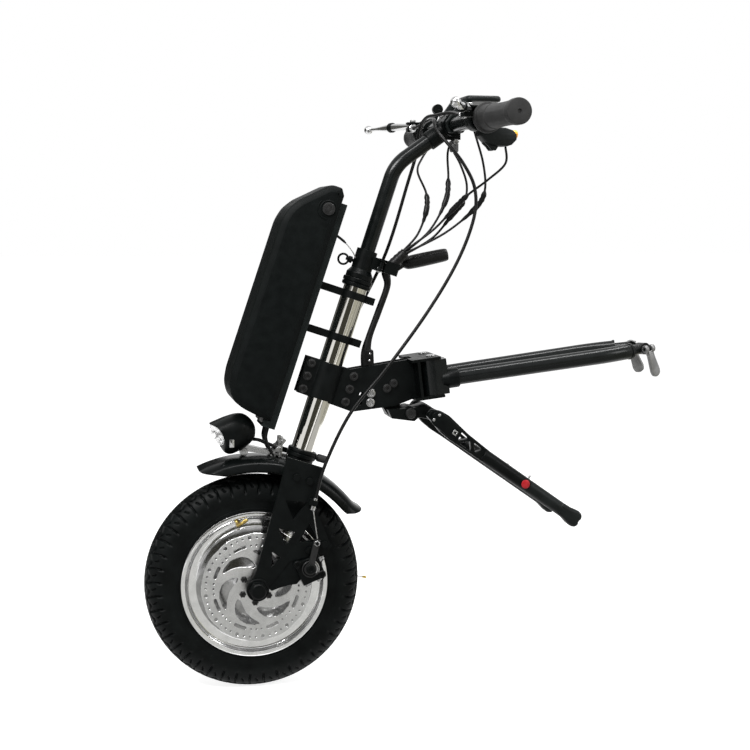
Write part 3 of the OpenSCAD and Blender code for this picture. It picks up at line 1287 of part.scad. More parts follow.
module arm() color("#232629") at_hinge() difference() {
  union() {
    translate([hinge_pin_x, -hinge_pin_y, -socket_half]) cylinder(r = knuckle_r, h = 2 * socket_half);
    box([hinge_pin_x, -hinge_pin_y - knuckle_r, -socket_half],
      [hinge_pin_x + socket_back, -hinge_pin_y + knuckle_r, socket_half]);
    at_arm_end(-socket_back * half_share) rotate([0, 90, 0])
      cylinder(r = arm_r, h = arm_run + socket_back * half_share + overrun);
    at_arm_end(arm_run) translate([0, arm_bend_r, 0]) rotate([0, 0, -90])
      rod_bend(arm_r + run_fit, arm_bend_r, arm_bend);
    at_spigot() rotate([0, 90, 0]) {
      translate([0, 0, -arm_wall]) cylinder(r = arm_r + arm_wall * half_share, h = 2 * arm_wall);
      cylinder(r = spigot_r, h = spigot_len);
    }
    at_spigot() {
      translate([spigot_len + eye_r * half_share, 0, 0]) {
        rod(eye_r, -eye_t * half_share, eye_t * half_share);
        rod(dock_pin_r, 0, eye_t * half_share + dock_pin_len);
        rod(small_bolt_r - body_gap, -cam_y, 0);
        translate([-eye_r, -cam_y, 0]) rotate([0, 90, 0]) cylinder(r = small_bolt_r, h = 2 * eye_r);
      }
    }
  }
  translate([hinge_pin_x, -hinge_pin_y, -2 * socket_half])
    cylinder(r = hinge_pin_r + run_fit, h = 4 * socket_half);
}
module arm_left() arm();
module arm_right() mirror([0, 1, 0]) arm();

module docking_lever() color("#aeb1b4") at_hinge() at_spigot()
  translate([spigot_len + eye_r * half_share, -cam_y, 0]) difference() {
    union() {
      rotate([0, 90, 0]) translate([0, 0, -eye_r]) cylinder(r = 2 * bolt_r, h = 2 * eye_r);
      rotate([0, -dock_lean, 0]) slab(-bolt_r, bolt_r) polygon([[-eye_r, 0], [eye_r, 0],
        [dock_lever_w * half_share, -dock_lever_len], [-dock_lever_w * half_share, -dock_lever_len]]);
    }
    rotate([0, 90, 0]) translate([0, 0, -2 * eye_r]) cylinder(r = small_bolt_r + run_fit, h = 4 * eye_r);
    slot = small_bolt_r + body_gap;
    box([-slot, -eye_t, -2 * bolt_r - body_gap], [slot, eye_t, eye_t]);
  }
module docking_lever_left() docking_lever();
module docking_lever_right() mirror([0, 1, 0]) docking_lever();

// Stand
function in_leg(shares) = placed(shares, [leg_plate_len, leg_plate_h]);

module stand_mount() color("#26282b") in_frame() difference() {
  union() {
    slab(-plate_gap + run_fit, plate_gap - run_fit) polygon(in_mount(mount_shares));
    slab(-stand_lug_y, stand_lug_y) polygon(in_mount(bridge_shares));
    pair() slab(-stand_lug_y, -stand_lug_y + stand_lug_t) polygon(in_mount(mount_lug_shares));
  }
  for (p = in_mount(mount_bolt_shares)) translate([p.x, 0, p.y])
    rod(bolt_r + run_fit, -2 * plate_gap, 2 * plate_gap);
  translate([stand_x, 0, stand_z]) rod(stand_pin_r + run_fit, -leg_y, leg_y);
}

module stand_frame() color("#1d1f22") at_stand() difference() {
  union() {
    rod(stand_barrel_r, -stand_barrel_half, stand_barrel_half);
    slab(-stand_barrel_half, stand_barrel_half) polygon(in_leg(neck_shares));
    slab(-leg_y, leg_y) polygon(in_leg(cross_shares));
    pair() {
      slab(-leg_y - leg_t * half_share, -leg_y + leg_t * half_share) difference() {
        polygon(in_leg(leg_shares));
        for (w = leg_window_shares) polygon(in_leg(w));
      }
      translate([sleeve_start, -leg_y, leg_rise]) rotate([0, 90, 0])
        cylinder(r = sleeve_r, h = sleeve_end - sleeve_start);
    }
  }
  rod(stand_pin_r + run_fit, -leg_y, leg_y);
  pair() {
    translate([sleeve_start + leg_r, -leg_y, leg_rise]) rotate([0, 90, 0])
      cylinder(r = leg_r + run_fit, h = sleeve_end - sleeve_start);
    at_release() rod(release_r + run_fit, -2 * sleeve_r, 0);
  }
}

module stand_leg() color("#2c2e31") at_stand() difference() {
  union() {
    translate([sleeve_start + leg_r + overrun, -leg_y, leg_rise]) rotate([0, 90, 0])
      cylinder(r = leg_r, h = foot_end - sleeve_start - leg_r - foot_len * half_share);
    translate([sleeve_end + body_gap, -leg_y, leg_rise]) rotate([0, 90, 0])
      cylinder(r = sleeve_r, h = foot_end - foot_len - sleeve_end);
    translate([0, -leg_y, leg_rise]) slab(-leg_t * half_share, leg_t * half_share) polygon([
      [foot_end - foot_len, -leg_r], [foot_end - foot_len, leg_r],
      [foot_end - leg_r, foot_w * half_share], [foot_end, foot_w * half_share - leg_r],
      [foot_end - leg_r, -foot_w * half_share]]);
  }
  at_release() box([-leg_travel - release_r - body_gap, -2 * leg_r, -release_r - body_gap],
    [release_r + body_gap, -leg_r + release_travel, release_r + body_gap]);
}
module stand_leg_left() stand_leg();
module stand_leg_right() mirror([0, 1, 0]) stand_leg();

module at_release() translate([sleeve_end - 2 * release_r - body_gap, -leg_y, leg_rise]) children();

module stand_button() color("#c8202c") at_stand() at_release()
  rod(release_r, -sleeve_r - release_r, -leg_r - body_gap);
module stand_button_left() stand_button();
module stand_button_right() mirror([0, 1, 0]) stand_button();

// Leads
module brake_cables() color("#232427") in_frame() {
  for (route = [cable_left_route, cable_right_route]) lead(route, cable_r, cable_shares(route));
}

module control_leads() color("#1a1b1d") in_frame()
  for (route = lead_routes) lead(route, lead_r, lead_shares);

module harness() color("#17181a") in_frame() {
  lead(harness_route, harness_r, harness_shares);
  lead(spare_route, harness_r, spare_shares);
  for (route = motor_lead_routes) lead(route, motor_lead_r);
}

tyre();
hub_shell();
motor_covers();
wheel_bearings();
motor_magnets();
valve();
brake_rotors();
rotor_bolts();
axle();
motor_stator();
fork_legs();
fork_crown();
fork_fasteners();
mudguard();
lamp_bracket();
lamp_housing();
lamp_lens();
brake_calipers();
caliper_arm_left();
caliper_arm_right();
stem_clamp();
clamp_lever();
pull_pin();
stem_post();
bar_clamp();
handlebar();
grips();
lever_perches();
brake_lever_left();
brake_lever_right();
throttle_body();
throttle_paddle();
display();
switch_box();
horn_button();
buzzer();
head_tube();
headset_cups();
headset_bearings();
clamp_plates();
hinge_bracket();
frame_fasteners();
battery_clamps();
battery_rail();
battery_shells();
battery_cells();
battery_lock();
stand_mount();
arm_left();
arm_right();
docking_lever_left();
docking_lever_right();
stand_frame();
stand_leg_left();
stand_leg_right();
stand_button_left();
stand_button_right();
brake_cables();
control_leads();
harness();
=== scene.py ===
from math import copysign, cos, pi, radians, sin, sqrt, tan

import bmesh
import bpy
from mathutils import Matrix, Vector
from mathutils.geometry import tessellate_polygon


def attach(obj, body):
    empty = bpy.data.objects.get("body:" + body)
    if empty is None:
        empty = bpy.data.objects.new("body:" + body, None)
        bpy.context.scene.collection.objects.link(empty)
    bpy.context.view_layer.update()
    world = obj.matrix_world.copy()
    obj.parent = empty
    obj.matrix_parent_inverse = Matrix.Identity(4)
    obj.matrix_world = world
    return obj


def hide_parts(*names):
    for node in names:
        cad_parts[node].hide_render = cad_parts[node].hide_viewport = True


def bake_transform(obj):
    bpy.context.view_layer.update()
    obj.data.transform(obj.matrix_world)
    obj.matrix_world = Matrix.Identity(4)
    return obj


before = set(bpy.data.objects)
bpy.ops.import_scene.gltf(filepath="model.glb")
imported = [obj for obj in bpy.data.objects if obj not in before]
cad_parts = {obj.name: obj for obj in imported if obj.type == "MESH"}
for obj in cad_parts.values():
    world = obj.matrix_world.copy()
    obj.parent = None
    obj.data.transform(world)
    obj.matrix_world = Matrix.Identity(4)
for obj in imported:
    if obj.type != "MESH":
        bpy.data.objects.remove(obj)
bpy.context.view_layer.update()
TAU = 2 * pi

# Places that pieces share, in millimetres: the axle in the row, the others from the wheel's foot, and slopes
AXLE_X, AXLE_Z = -233.75, 158.5
HEAD_FOOT, HEAD_LEAN, HEAD_LEN = (75.063, 0, 345.969), 18.5, 262
FORK_LEN, FORK_RAKE, FORK_FACE, CALIPER_TURN = 201.6, 11.7, -64, 39.8
BAR_AT, BAR_BEND, BAR_SWEEP = (298.68, 0, 824.96), (0.2316, -76.80), 3.9
HINGE_AT, ARM_RISE = (243, 0, 454), 7
STAND_AT, STAND_DROP = (234, 0, 403), 35.3


# Frames: millimetres of the drawing to metres of the row
def turn(axis, degrees):
    return Matrix.Rotation(radians(degrees), 4, axis)


def move(x=0.0, y=0.0, z=0.0):
    return Matrix.Translation((x, y, z))


FLIP = Matrix.Scale(-1, 4, (0, 1, 0))
OUT, ALONG = turn("X", 90), turn("Y", 90)
WHEEL = Matrix.Scale(0.001, 4) @ move(AXLE_X)
AXLE = WHEEL @ move(0, 0, AXLE_Z)
COLUMN = WHEEL @ move(*HEAD_FOOT) @ turn("Y", HEAD_LEAN)
CALIPER = COLUMN @ move(-FORK_RAKE, 0, -FORK_LEN) @ turn("Y", -CALIPER_TURN)
BAR = WHEEL @ move(*BAR_AT)
HINGE = WHEEL @ move(*HINGE_AT) @ turn("Y", -ARM_RISE)
STAND = WHEEL @ move(*STAND_AT) @ turn("Y", STAND_DROP)
SIDES = {"left": Matrix.Identity(4), "right": FLIP}


def both(base):
    """A frame on the near side, and its mirror image on the far side."""
    return [base @ flip for flip in SIDES.values()]


def out_at(base, x, y, z):
    """A place in a frame, with local Z pointing out to the side."""
    return base @ move(x, y, z) @ OUT


def aim(place, way, axis="Z"):
    """A frame at a place, with one of its axes along a way."""
    return Matrix.Translation(place) @ Vector(way).to_track_quat(axis, "Y").to_matrix().to_4x4()


def bar_end(side, s=0.0):
    """The swept end of the bar, s millimetres past its bend."""
    return BAR @ SIDES[side] @ move(*BAR_BEND) @ turn("Z", BAR_SWEEP) @ move(0, -s)


# Outlines
def area(loop):
    return sum(a[0] * b[1] - b[0] * a[1] for a, b in zip(loop, loop[1:] + loop[:1])) / 2


def inset(loop, depth):
    """Move each corner of a loop to its left by a depth."""
    out = []
    for i, p in enumerate(loop):
        a, b = loop[i - 1], loop[(i + 1) % len(loop)]
        u = Vector((p[0] - a[0], p[1] - a[1])).normalized()
        v = Vector((b[0] - p[0], b[1] - p[1])).normalized()
        left = Vector((-u.y - v.y, u.x + v.x))
        slack = max(0.5, 1 + u.dot(v))
        out.append((p[0] + depth * left.x / slack, p[1] + depth * left.y / slack))
    return out


def rounded(outline, radius, steps=5):
    """Round the corners of an outline; radius is one value or one for each corner."""
    out = []
    for i, p in enumerate(outline):
        r = radius[i] if isinstance(radius, (list, tuple)) else radius
        p, a, b = Vector(p), Vector(outline[i - 1]), Vector(outline[(i + 1) % len(outline)])
        u, v = (a - p), (b - p)
        half = u.angle(v) / 2
        cut = min(r / max(tan(half), 1e-3), 0.46 * u.length, 0.46 * v.length)
        if cut < 0.05:
            out.append(tuple(p))
            continue
        s, e = p + u.normalized() * cut, p + v.normalized() * cut
        for k in range(steps + 1):
            t = k / steps
            out.append(tuple(s * (1 - t) ** 2 + p * 2 * t * (1 - t) + e * t ** 2))
    return out


def turns(n):
    """The angles of n even steps round a circle."""
    return [TAU * k / n for k in range(n)]


def circle(x, z, r, n=24):
    return [(x + r * cos(a), z + r * sin(a)) for a in turns(n)]


def polar(r, degrees):
    return r * cos(radians(degrees)), r * sin(radians(degrees))


def bulge(value, power):
    """A power that keeps the sign, for sections between round and square."""
    return copysign(abs(value) ** power, value)


def knurl(count, depth):
    """The wave of a milled edge."""
    return lambda a, h: 1 + depth * cos(count * a)


def curve(points, steps=6):
    """Catmull-Rom points through the given ones."""
    p = [Vector(q) for q in points]
    n = len(p) - 1
    out = []
    for i in range(n):
        a, b, c, d = p[max(i - 1, 0)], p[i], p[i + 1], p[min(i + 2, n)]
        for k in range(steps):
            t = k / steps
            out.append(0.5 * (2 * b + (c - a) * t + (2 * a - 5 * b + 4 * c - d) * t * t
                              + (3 * b - a - 3 * c + d) * t * t * t))
    return out + [p[n]]


class Shape:
    """Points and faces gathered from several bodies."""

    def __init__(self):
        self.points, self.faces = [], []

    def add(self, matrix, points, faces):
        start = len(self.points)
        self.points += [matrix @ Vector(p) for p in points]
        self.faces += [[start + i for i in f] for f in faces]
        return self

    def rings(self, matrix, rings, closed=False):
        """Skin rings of points, with a cap at each end unless the last ring meets the first."""
        n, m = len(rings[0]), len(rings)
        faces = [[i * n + k, i * n + (k + 1) % n, (i + 1) % m * n + (k + 1) % n, (i + 1) % m * n + k]
                 for i in range(m if closed else m - 1) for k in range(n)]
        if not closed:
            faces += [list(range(n))[::-1], [(m - 1) * n + k for k in range(n)]]
        return self.add(matrix, [p for r in rings for p in r], faces)

    def lathe(self, matrix, profile, n=40, closed=False, wave=None):
        """Turn a profile of (radius, height) about local Z."""
        rings = []
        for r, h in profile:
            ring = []
            for a in turns(n):
                q = r * wave(a, h) if wave else r
                ring.append((q * cos(a), q * sin(a), h))
            rings.append(ring)
        return self.rings(matrix, rings, closed)

    def sweep(self, matrix, points, radius, n=12):
        """A tube along points, with one radius or one for each."""
        points = [Vector(p[:3]) for p in points]
        rings, side = [], None
        for i, p in enumerate(points):
            t = (points[min(i + 1, len(points) - 1)] - points[max(i - 1, 0)]).normalized()
            if side is None:
                side = t.orthogonal()
            side = (side - side.dot(t) * t).normalized()
            other = t.cross(side)
            r = radius[i] if isinstance(radius, (list, tuple)) else radius
            rings.append([p + r * (cos(a) * side + sin(a) * other) for a in turns(n)])
        return self.rings(matrix, rings)

    def plate(self, matrix, outline, levels, holes=()):
        """An outline in X and Z, carried across Y through levels of (inset, y)."""
        loops = [list(outline)] + [list(h) for h in holes]
        loops = [c if (area(c) > 0) == (i == 0) else c[::-1] for i, c in enumerate(loops)]
        base = 0
        points, faces, caps = [], [], [[], []]
        for loop in loops:
            n = len(loop)
            for depth, y in levels:
                points += [(q[0], y, q[1]) for q in inset(loop, depth)]
            for i in range(len(levels) - 1):
                for k in range(n):
                    a, b = base + i * n, base + (i + 1) * n
                    faces.append([a + k, a + (k + 1) % n, b + (k + 1) % n, b + k])
            caps[0].append(list(range(base, base + n)))
            caps[1].append(list(range(base + (len(levels) - 1) * n, base + len(levels) * n)))
            base = len(points)
        for cap in caps:
            flat = [i for c in cap for i in c]
            shapes = [[Vector((points[i][0], points[i][2], 0)) for i in c] for c in cap]
            faces += [[flat[i] for i in tri] for tri in tessellate_polygon(shapes)]
        return self.add(matrix, points, faces)

    def slab(self, matrix, outline, y0, y1, edge=0.8, holes=()):
        """A plate with rounded edges on both faces."""
        e = min(edge, (y1 - y0) * 0.45)
        f = 0.3 * e
        levels = [(e, y0), (f, y0 + f), (0, y0 + e), (0, y1 - e), (f, y1 - f), (e, y1)]
        return self.plate(matrix, outline, levels, holes)


def new_object(name, data):
    obj = bpy.data.objects.new(name, data)
    bpy.context.collection.objects.link(obj)
    return obj


def make(name, shape, body, material, hides=(), sharp=32):
    """A piece that rides on a body, and stands for the CAD nodes that it hides."""
    mesh = bpy.data.meshes.new(name)
    mesh.from_pydata(shape.points, [], shape.faces)
    edit = bmesh.new()
    edit.from_mesh(mesh)
    bmesh.ops.recalc_face_normals(edit, faces=edit.faces)
    edit.to_mesh(mesh)
    edit.free()
    mesh.polygons.foreach_set("use_smooth", [True] * len(mesh.polygons))
    mesh.set_sharp_from_angle(angle=radians(sharp))
    mesh.materials.append(material)
    obj = new_object(name, mesh)
    if body:
        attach(obj, body)
    if hides:
        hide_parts(*hides)
    return obj


# Materials
AXLE_AT = (AXLE_X / 1000, 0, AXLE_Z / 1000)
PLAIN, COOL, WARM = (1, 1, 1), (0.8, 1.05, 1.02), (1, 0.975, 0.92)
COAT_ROUGHNESS, BUMP_DISTANCE = 0.06, 0.0004
CLOUD_DETAIL, CLOUD_EDGES, ROUGH_EDGES = 4, (0.35, 0.65), (0.3, 0.7)
LATHE_LINES, LATHE_WOBBLE = 260, 1.5


def shade(value, tint):
    """A colour as it is written, or a grey with a tint."""
    return value if isinstance(value, tuple) else tuple(value * t for t in tint)


def put(node, **values):
    """Set a shader node's inputs, with _ for a space in their names."""
    for name, value in values.items():
        node.inputs[name.replace("_", " ")].default_value = value
    return node


def add(tree, kind, **values):
    """A new shader node with its inputs set."""
    return put(tree.nodes.new("ShaderNode" + kind), **values)


def wire(start, output, end, entry):
    """Link an output of one shader node to an input of another."""
    start.id_data.links.new(start.outputs[output], end.inputs[entry])


def surface(name, low, high, rough, tint=PLAIN, metal=0.0, spec=0.5, scale=70.0, grain=900.0, bump=0.04,
            bevel=0.0, coat=0.0, turned=False, stretch=None, clear=0.0):
    """A clouded surface with a fine grain, or with the lines of a lathe about the axle."""
    mat = bpy.data.materials.new(name)
    mat.use_nodes = True
    tree = mat.node_tree
    bsdf = put(tree.nodes["Principled BSDF"], Metallic=metal, Specular_IOR_Level=spec, Coat_Weight=coat,
               Coat_Roughness=COAT_ROUGHNESS, Transmission_Weight=clear)
    place = add(tree, "Mapping")
    wire(add(tree, "TexCoord"), "Object", place, "Vector")
    if stretch:
        put(place, Scale=stretch)
    cloud = add(tree, "TexNoise", Scale=scale, Detail=CLOUD_DETAIL)
    wire(place, "Vector", cloud, "Vector")
    ramp = add(tree, "ValToRGB")
    for stop, edge, value in zip(ramp.color_ramp.elements, CLOUD_EDGES, (low, high)):
        stop.position = edge
        stop.color = (*shade(value, tint), 1)
    wire(cloud, "Fac", ramp, "Fac")
    wire(ramp, "Color", bsdf, "Base Color")
    spread = add(tree, "MapRange", From_Min=ROUGH_EDGES[0], From_Max=ROUGH_EDGES[1], To_Min=rough[0],
                 To_Max=rough[1])
    wire(spread, "Result", bsdf, "Roughness")
    raised = add(tree, "Bump", Strength=bump, Distance=BUMP_DISTANCE)
    if turned:
        put(place, Location=[-c for c in AXLE_AT])
        fine = add(tree, "TexWave", Scale=LATHE_LINES, Distortion=LATHE_WOBBLE)
        fine.wave_type = "RINGS"
        fine.rings_direction = "Y"
    else:
        fine = add(tree, "TexNoise", Scale=grain)
    wire(place, "Vector", fine, "Vector")
    wire(fine, "Fac", raised, "Height")
    wire(fine if turned else cloud, "Fac", spread, "Value")
    if bevel:
        wire(add(tree, "Bevel", Radius=bevel), "Normal", raised, "Normal")
    wire(raised, "Normal", bsdf, "Normal")
    return mat


PAINT = surface("black_paint", 0.002, 0.003, (0.3, 0.42), COOL, spec=0.085, bevel=0.0009)
PLATE = surface("black_plate", 0.0025, 0.0036, (0.4, 0.52), COOL, spec=0.075, bevel=0.0008)
TUBE = surface("black_tube", 0.003, 0.0045, (0.18, 0.26), COOL, spec=0.2)
GLOSS = surface("gloss_black", 0.002, 0.003, (0.18, 0.25), COOL, spec=0.075, bump=0.01)
SHELL = surface("battery_shell", 0.003, 0.0043, (0.42, 0.55), COOL, spec=0.055, grain=1800, bump=0.08)
PLASTIC = surface("black_plastic", 0.0045, 0.007, (0.36, 0.48), COOL, spec=0.15, grain=1500, bump=0.06)
RUBBER = surface("tyre_rubber", 0.002, 0.004, (0.4, 0.52), COOL, spec=0.08, scale=40, bump=0.1)
GRIP = surface("grip_rubber", 0.018, 0.026, (0.5, 0.65), spec=0.2, bump=0.12)
RAIL = surface("rail_black", 0.012, 0.017, (0.4, 0.52), COOL, spec=0.12, bevel=0.0006)
JACKET = surface("cable_jacket", 0.003, 0.005, (0.3, 0.42), spec=0.16, bump=0.03)
ALLOY = surface("polished_alloy", 0.46, 0.56, (0.12, 0.22), metal=1, scale=25, bump=0.02)
HUB = surface("hub_alloy", 0.8, 0.9, (0.1, 0.2), metal=1, bump=0.05, turned=True)
# The motor covers take a darker copy of the hub's turned alloy: painted shade for where they sit behind the
# rotor.
SHADED_COVER = surface("cover_alloy_painted_shade", 0.3, 0.44, (0.1, 0.2), metal=1, bump=0.05, turned=True)
DISC = surface("rotor_steel", 0.58, 0.68, (0.2, 0.32), metal=1, bump=0.1, turned=True)
CHROME = surface("chrome", 0.66, 0.74, (0.05, 0.09), WARM, metal=1, scale=30, bump=0.01)
STEEL = surface("bolt_steel", 0.34, 0.46, (0.2, 0.34), metal=1, scale=200, bump=0.05, bevel=0.0004)
DARK = surface("dark_steel", 0.008, 0.014, (0.28, 0.4), spec=0.3, scale=200, bump=0.05, bevel=0.0004)
SATIN = surface("satin_alloy", 0.17, 0.23, (0.36, 0.5), metal=0.8, grain=1600, bump=0.06, bevel=0.001)
BRASS = surface("brass", (0.42, 0.30, 0.08), (0.55, 0.42, 0.14), (0.25, 0.4), metal=1, scale=300, bump=0.05)
RED = surface("red_plastic", (0.3, 0.004, 0.008), (0.36, 0.008, 0.014), (0.3, 0.42), spec=0.3, scale=200)
AMBER = surface("amber_plastic", (0.85, 0.33, 0.01), (0.95, 0.42, 0.02), (0.3, 0.42), spec=0.4, scale=200)
BUZZ = surface("grey_plastic", 0.05, 0.065, (0.35, 0.48), spec=0.4, scale=160, bump=0.06)
SCREEN = surface("screen_glass", 0.002, 0.004, (0.03, 0.07), spec=0.5, bump=0.005, coat=0.4)
LENS = surface("lamp_lens", 0.9, 0.97, (0.02, 0.06), clear=0.85, scale=120, grain=500, bump=0.25)
MIRROR = surface("lamp_bowl", 0.8, 0.9, (0.1, 0.2), metal=1, scale=160, bump=0.15)
LAMINATE = surface("laminations", (0.2, 0.12, 0.05), (0.3, 0.19, 0.08), (0.35, 0.5), metal=0.7,
                   stretch=(1, 12, 1))
CELLS = surface("cell_wrap", (0.03, 0.09, 0.16), (0.05, 0.13, 0.22), (0.35, 0.5), spec=0.4)

# CAD nodes that stay in view
LOOKS = {
    PAINT: ["fork_crown", "stem_clamp", "clamp_lever", "bar_clamp", "lever_perches", "throttle_body",
            "throttle_paddle", "hinge_bracket", "battery_clamps", "brake_calipers", "stand_mount", "pull_pin",
            "fork_fasteners"],
    PLATE: ["fork_legs", "clamp_plates"],
    RAIL: ["battery_rail"],
    TUBE: ["stem_post", "handlebar", "arm_left", "arm_right"],
    STEEL: ["wheel_bearings", "headset_bearings", "axle", "lamp_bracket", "motor_magnets"],
    DARK: ["caliper_arm_left", "caliper_arm_right"],
    CHROME: ["head_tube"],
    LAMINATE: ["motor_stator"],
    CELLS: ["battery_cells"],
}
for mat, names in LOOKS.items():
    for name in names:
        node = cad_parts[name]
        node.data.materials.clear()
        node.data.materials.append(mat)

# Wheel
TREAD_HALF, TREAD_PITCH, TREAD_DEPTH = 43, 22.5, 2.8
PITCHES, PITCH_STEPS = 44, 20
RIB_EDGE, RIB_WAVE, SHOULDER = 15, 3.6, 26
GROOVE_W, SIPE_W, SLIT_W = 2.2, 1.5, 1.6
CROWN_R, CROWN_ARC_R, CROWN_MID, CROWN_HALF, CROWN_STEPS = 28.4, 28.5, 130, 108, 104


def groove(distance, width):
    """The share of a groove's depth at a distance from its middle."""
    return min(1.0, 1.6 * max(0.0, 1 - abs(distance) / width))


def tread(u, v):
    """Depth of the grooves: u counts pitches round the tyre, and v is millimetres across it."""
    a = abs(v)
    if a > TREAD_HALF:
        return 0.0
    f = (u + (0.5 if v > 0 else 0.0)) % 1
    edge = RIB_EDGE + RIB_WAVE * sin(TAU * f)
    deep = groove(a - edge, GROOVE_W)
    if a > edge:
        across = (a - edge) / SHOULDER
        lean = (f - 0.25 + 0.42 * across - 0.3 * across * across) % 1 - 0.5
        deep = max(deep, groove(lean * TREAD_PITCH, GROOVE_W) * max(0.0, min(1.0, (TREAD_HALF - a) / 6)))
        if 24 < a < 31:
            lean = (f - 0.78 + 0.42 * across) % 1 - 0.5
            deep = max(deep, 0.8 * groove(lean * TREAD_PITCH, SIPE_W))
    elif 3 < a < 12:
        lean = (f + 0.03 * a) % 1 - 0.5
        deep = max(deep, 0.8 * groove(lean * TREAD_PITCH, SLIT_W))
    return TREAD_DEPTH * max(0.0, min(1.0, deep))


def tyre():
    """Two walls with a moulded line, and the crown with its tread."""
    wall = [(103, 26.2), (107.5, 26.8), (110, 26.9), (110.5, 27.6), (112, 27.6), (112.5, 26.9), (116, 26.9),
            (119, 26.95)]
    arc = [radians(-CROWN_HALF + 2 * CROWN_HALF * k / CROWN_STEPS) for k in range(CROWN_STEPS + 1)]
    rings = []
    for i in range(PITCHES * PITCH_STEPS):
        section = [(r, -y) for r, y in wall]
        for a in arc:
            r = CROWN_R - tread(i / PITCH_STEPS, CROWN_ARC_R * a)
            section.append((CROWN_MID + r * cos(a), r * sin(a)))
        section += wall[::-1] + [(101.6, 22), (101.6, -22)]
        t = TAU * i / (PITCHES * PITCH_STEPS)
        rings.append([(r * cos(t), y, r * sin(t)) for r, y in section])
    return Shape().rings(AXLE, rings, closed=True)


make("tyre_tread", tyre(), "wheel", RUBBER, ["tyre"], sharp=50)

COVER_R, BORE_R = 85, 10
lip = [(COVER_R, 24.4), (85.2, 24.6), (86.4, 24.1), (94.5, 24), (97, 24.4), (98.8, 25.6), (100, 27.8),
       (100.6, 29.8), (101.2, 30.6), (102.2, 30.95), (106.4, 31), (107.2, 30.6), (107.5, 29.8), (107.5, 27.3),
       (107.1, 27.05), (101.4, 27)]
hub = Shape().lathe(AXLE @ OUT, lip + [(r, -h) for r, h in lip[::-1]], n=160, closed=True)
make("hub_turned", hub, "wheel", HUB, ["hub_shell"], sharp=40)
face = [(BORE_R, 46.4), (27.5, 46.4), (29.4, 45.8), (30, 44.4), (31.5, 43.4), (35, 42.2), (50, 37.6),
        (66, 32.8), (78, 29.3), (82.5, 28.4), (84.6, 27.4), (COVER_R, 26), (COVER_R, 24), (BORE_R, 24)]
faces = Shape()
for base in both(AXLE):
    faces.lathe(base @ OUT, face, n=160, closed=True)
# The cover faces wear the darker alloy, which paints the shade behind the rotor.
make("cover_faces", faces, "wheel", SHADED_COVER, ["motor_covers"], sharp=40)


def star(a, h):
    """The six-pointed socket of a rotor bolt."""
    return 1 + 0.14 * cos(6 * a) if 1.0 < h < 2.7 else 1.0


rotors, rotor_bolts, screws = Shape(), Shape(), Shape()
star_head = [(4.5, 0), (4.5, 1.7), (4.1, 2.4), (3.2, 2.9), (2.4, 3), (2.1, 2.6), (1.9, 1.2), (0.3, 1.2)]
screw = [(2.7, 0), (2.7, 0.9), (2.2, 1.4), (1.4, 1.45), (1.2, 0.7), (0.2, 0.7)]
rim = [polar(79.4 + 0.5 * cos(radians(18 * k)), 1.5 * k) for k in range(240)]
slot_half = (-9, -4.5, 0, 4.5, 9)
swirl = ((53.5, 4), (50, -7), (45, -15), (38, -24), (31, -31), (28.5, -22), (33, -7), (39.5, 8), (46, 22),
         (51.5, 33), (54.5, 35), (55.4, 27), (55.4, 14))
cuts = [circle(0, 0, 12, 32)]
for a in range(7, 360, 30):
    cuts.append(circle(*polar(73.6, a), 2.7, 16))
    cuts += [circle(*polar(73.4, a + d), 1.6, 12) for d in (8.2, 15, 21.8)]
for a in range(22, 360, 45):
    slot = [polar(64.4, a + d) for d in slot_half] + [polar(59.4, a - d) for d in slot_half]
    cuts.append(rounded(slot, 2.2, 3))
    cuts += [circle(*polar(62, a + d), 1.5, 12) for d in (15.5, 22.5, 29.5)]
for a in range(0, 360, 60):
    cuts.append(rounded([polar(r, a + d) for r, d in swirl], 2.5, 3))
for base in both(AXLE):
    rotors.plate(base, rim, [(0.25, -48.4), (0, -48.15), (0, -46.75), (0.25, -46.5)], cuts)
    for a in range(25, 360, 60):
        x, z = polar(22, a)
        rotor_bolts.lathe(out_at(base, x, -48.3, z), star_head, n=36, wave=star)
    for a in range(12, 360, 40):
        x, z = polar(72, a)
        screws.lathe(out_at(base, x, -30.4, z), screw, n=20)
make("rotor_plates", rotors, "wheel", DISC, ["brake_rotors"], sharp=25)
make("rotor_screws", rotor_bolts, "wheel", DARK, ["rotor_bolts"])
make("cover_screws", screws, "wheel", DARK)

stem = curve([(-23.6, -24, 87.9), (-23.6, -28, 87.9), (-22.2, -31, 89), (-18.5, -32.6, 91.6),
              (-14.5, -33.2, 94.2)], 5)
valve = Shape().sweep(AXLE, stem, [2.7] * 6 + [2.3] * (len(stem) - 6), 18)
nozzle = [(2.3, -2), (2.8, -1.6), (2.8, 1.5), (2.2, 2), (2.2, 5), (1.8, 5.6), (0.4, 5.6)]
valve.lathe(AXLE @ aim(stem[-1], stem[-1] - stem[-3]), nozzle, n=24, wave=knurl(12, 0.04))
make("valve_stem", valve, "wheel", BRASS, ["valve"])

# Axle nuts, fork hardware and calipers
nuts, webs = Shape(), Shape()
for base in both(AXLE):
    nuts.lathe(out_at(base, 0, -64.1, 0), [(16.5, 0), (16.5, 1.4), (15.8, 2)], n=48)
    nuts.lathe(out_at(base, 0, -66, 0), [(13.6, 0), (13.6, 6.5), (12.6, 8.4), (11.4, 9.3)], n=6)
    nuts.lathe(out_at(base, 0, -66, 0), [(11.2, 7), (11.2, 9.6), (9.6, 11.2), (6, 12), (0.4, 12)], n=40)
make("axle_caps", nuts, "fork", PAINT)
gusset = rounded([(12, 164), (20, 155.5), (31, 159.5), (45, 163), (57, 164), (64, 172), (60, 206), (46, 200)],
                 [1, 3, 8, 10, 4, 4, 2, 1], 4)
for base in both(WHEEL):
    webs.slab(base, gusset, -63.2, -59.5, 0.5)
make("fork_webs", webs, "fork", PLATE)

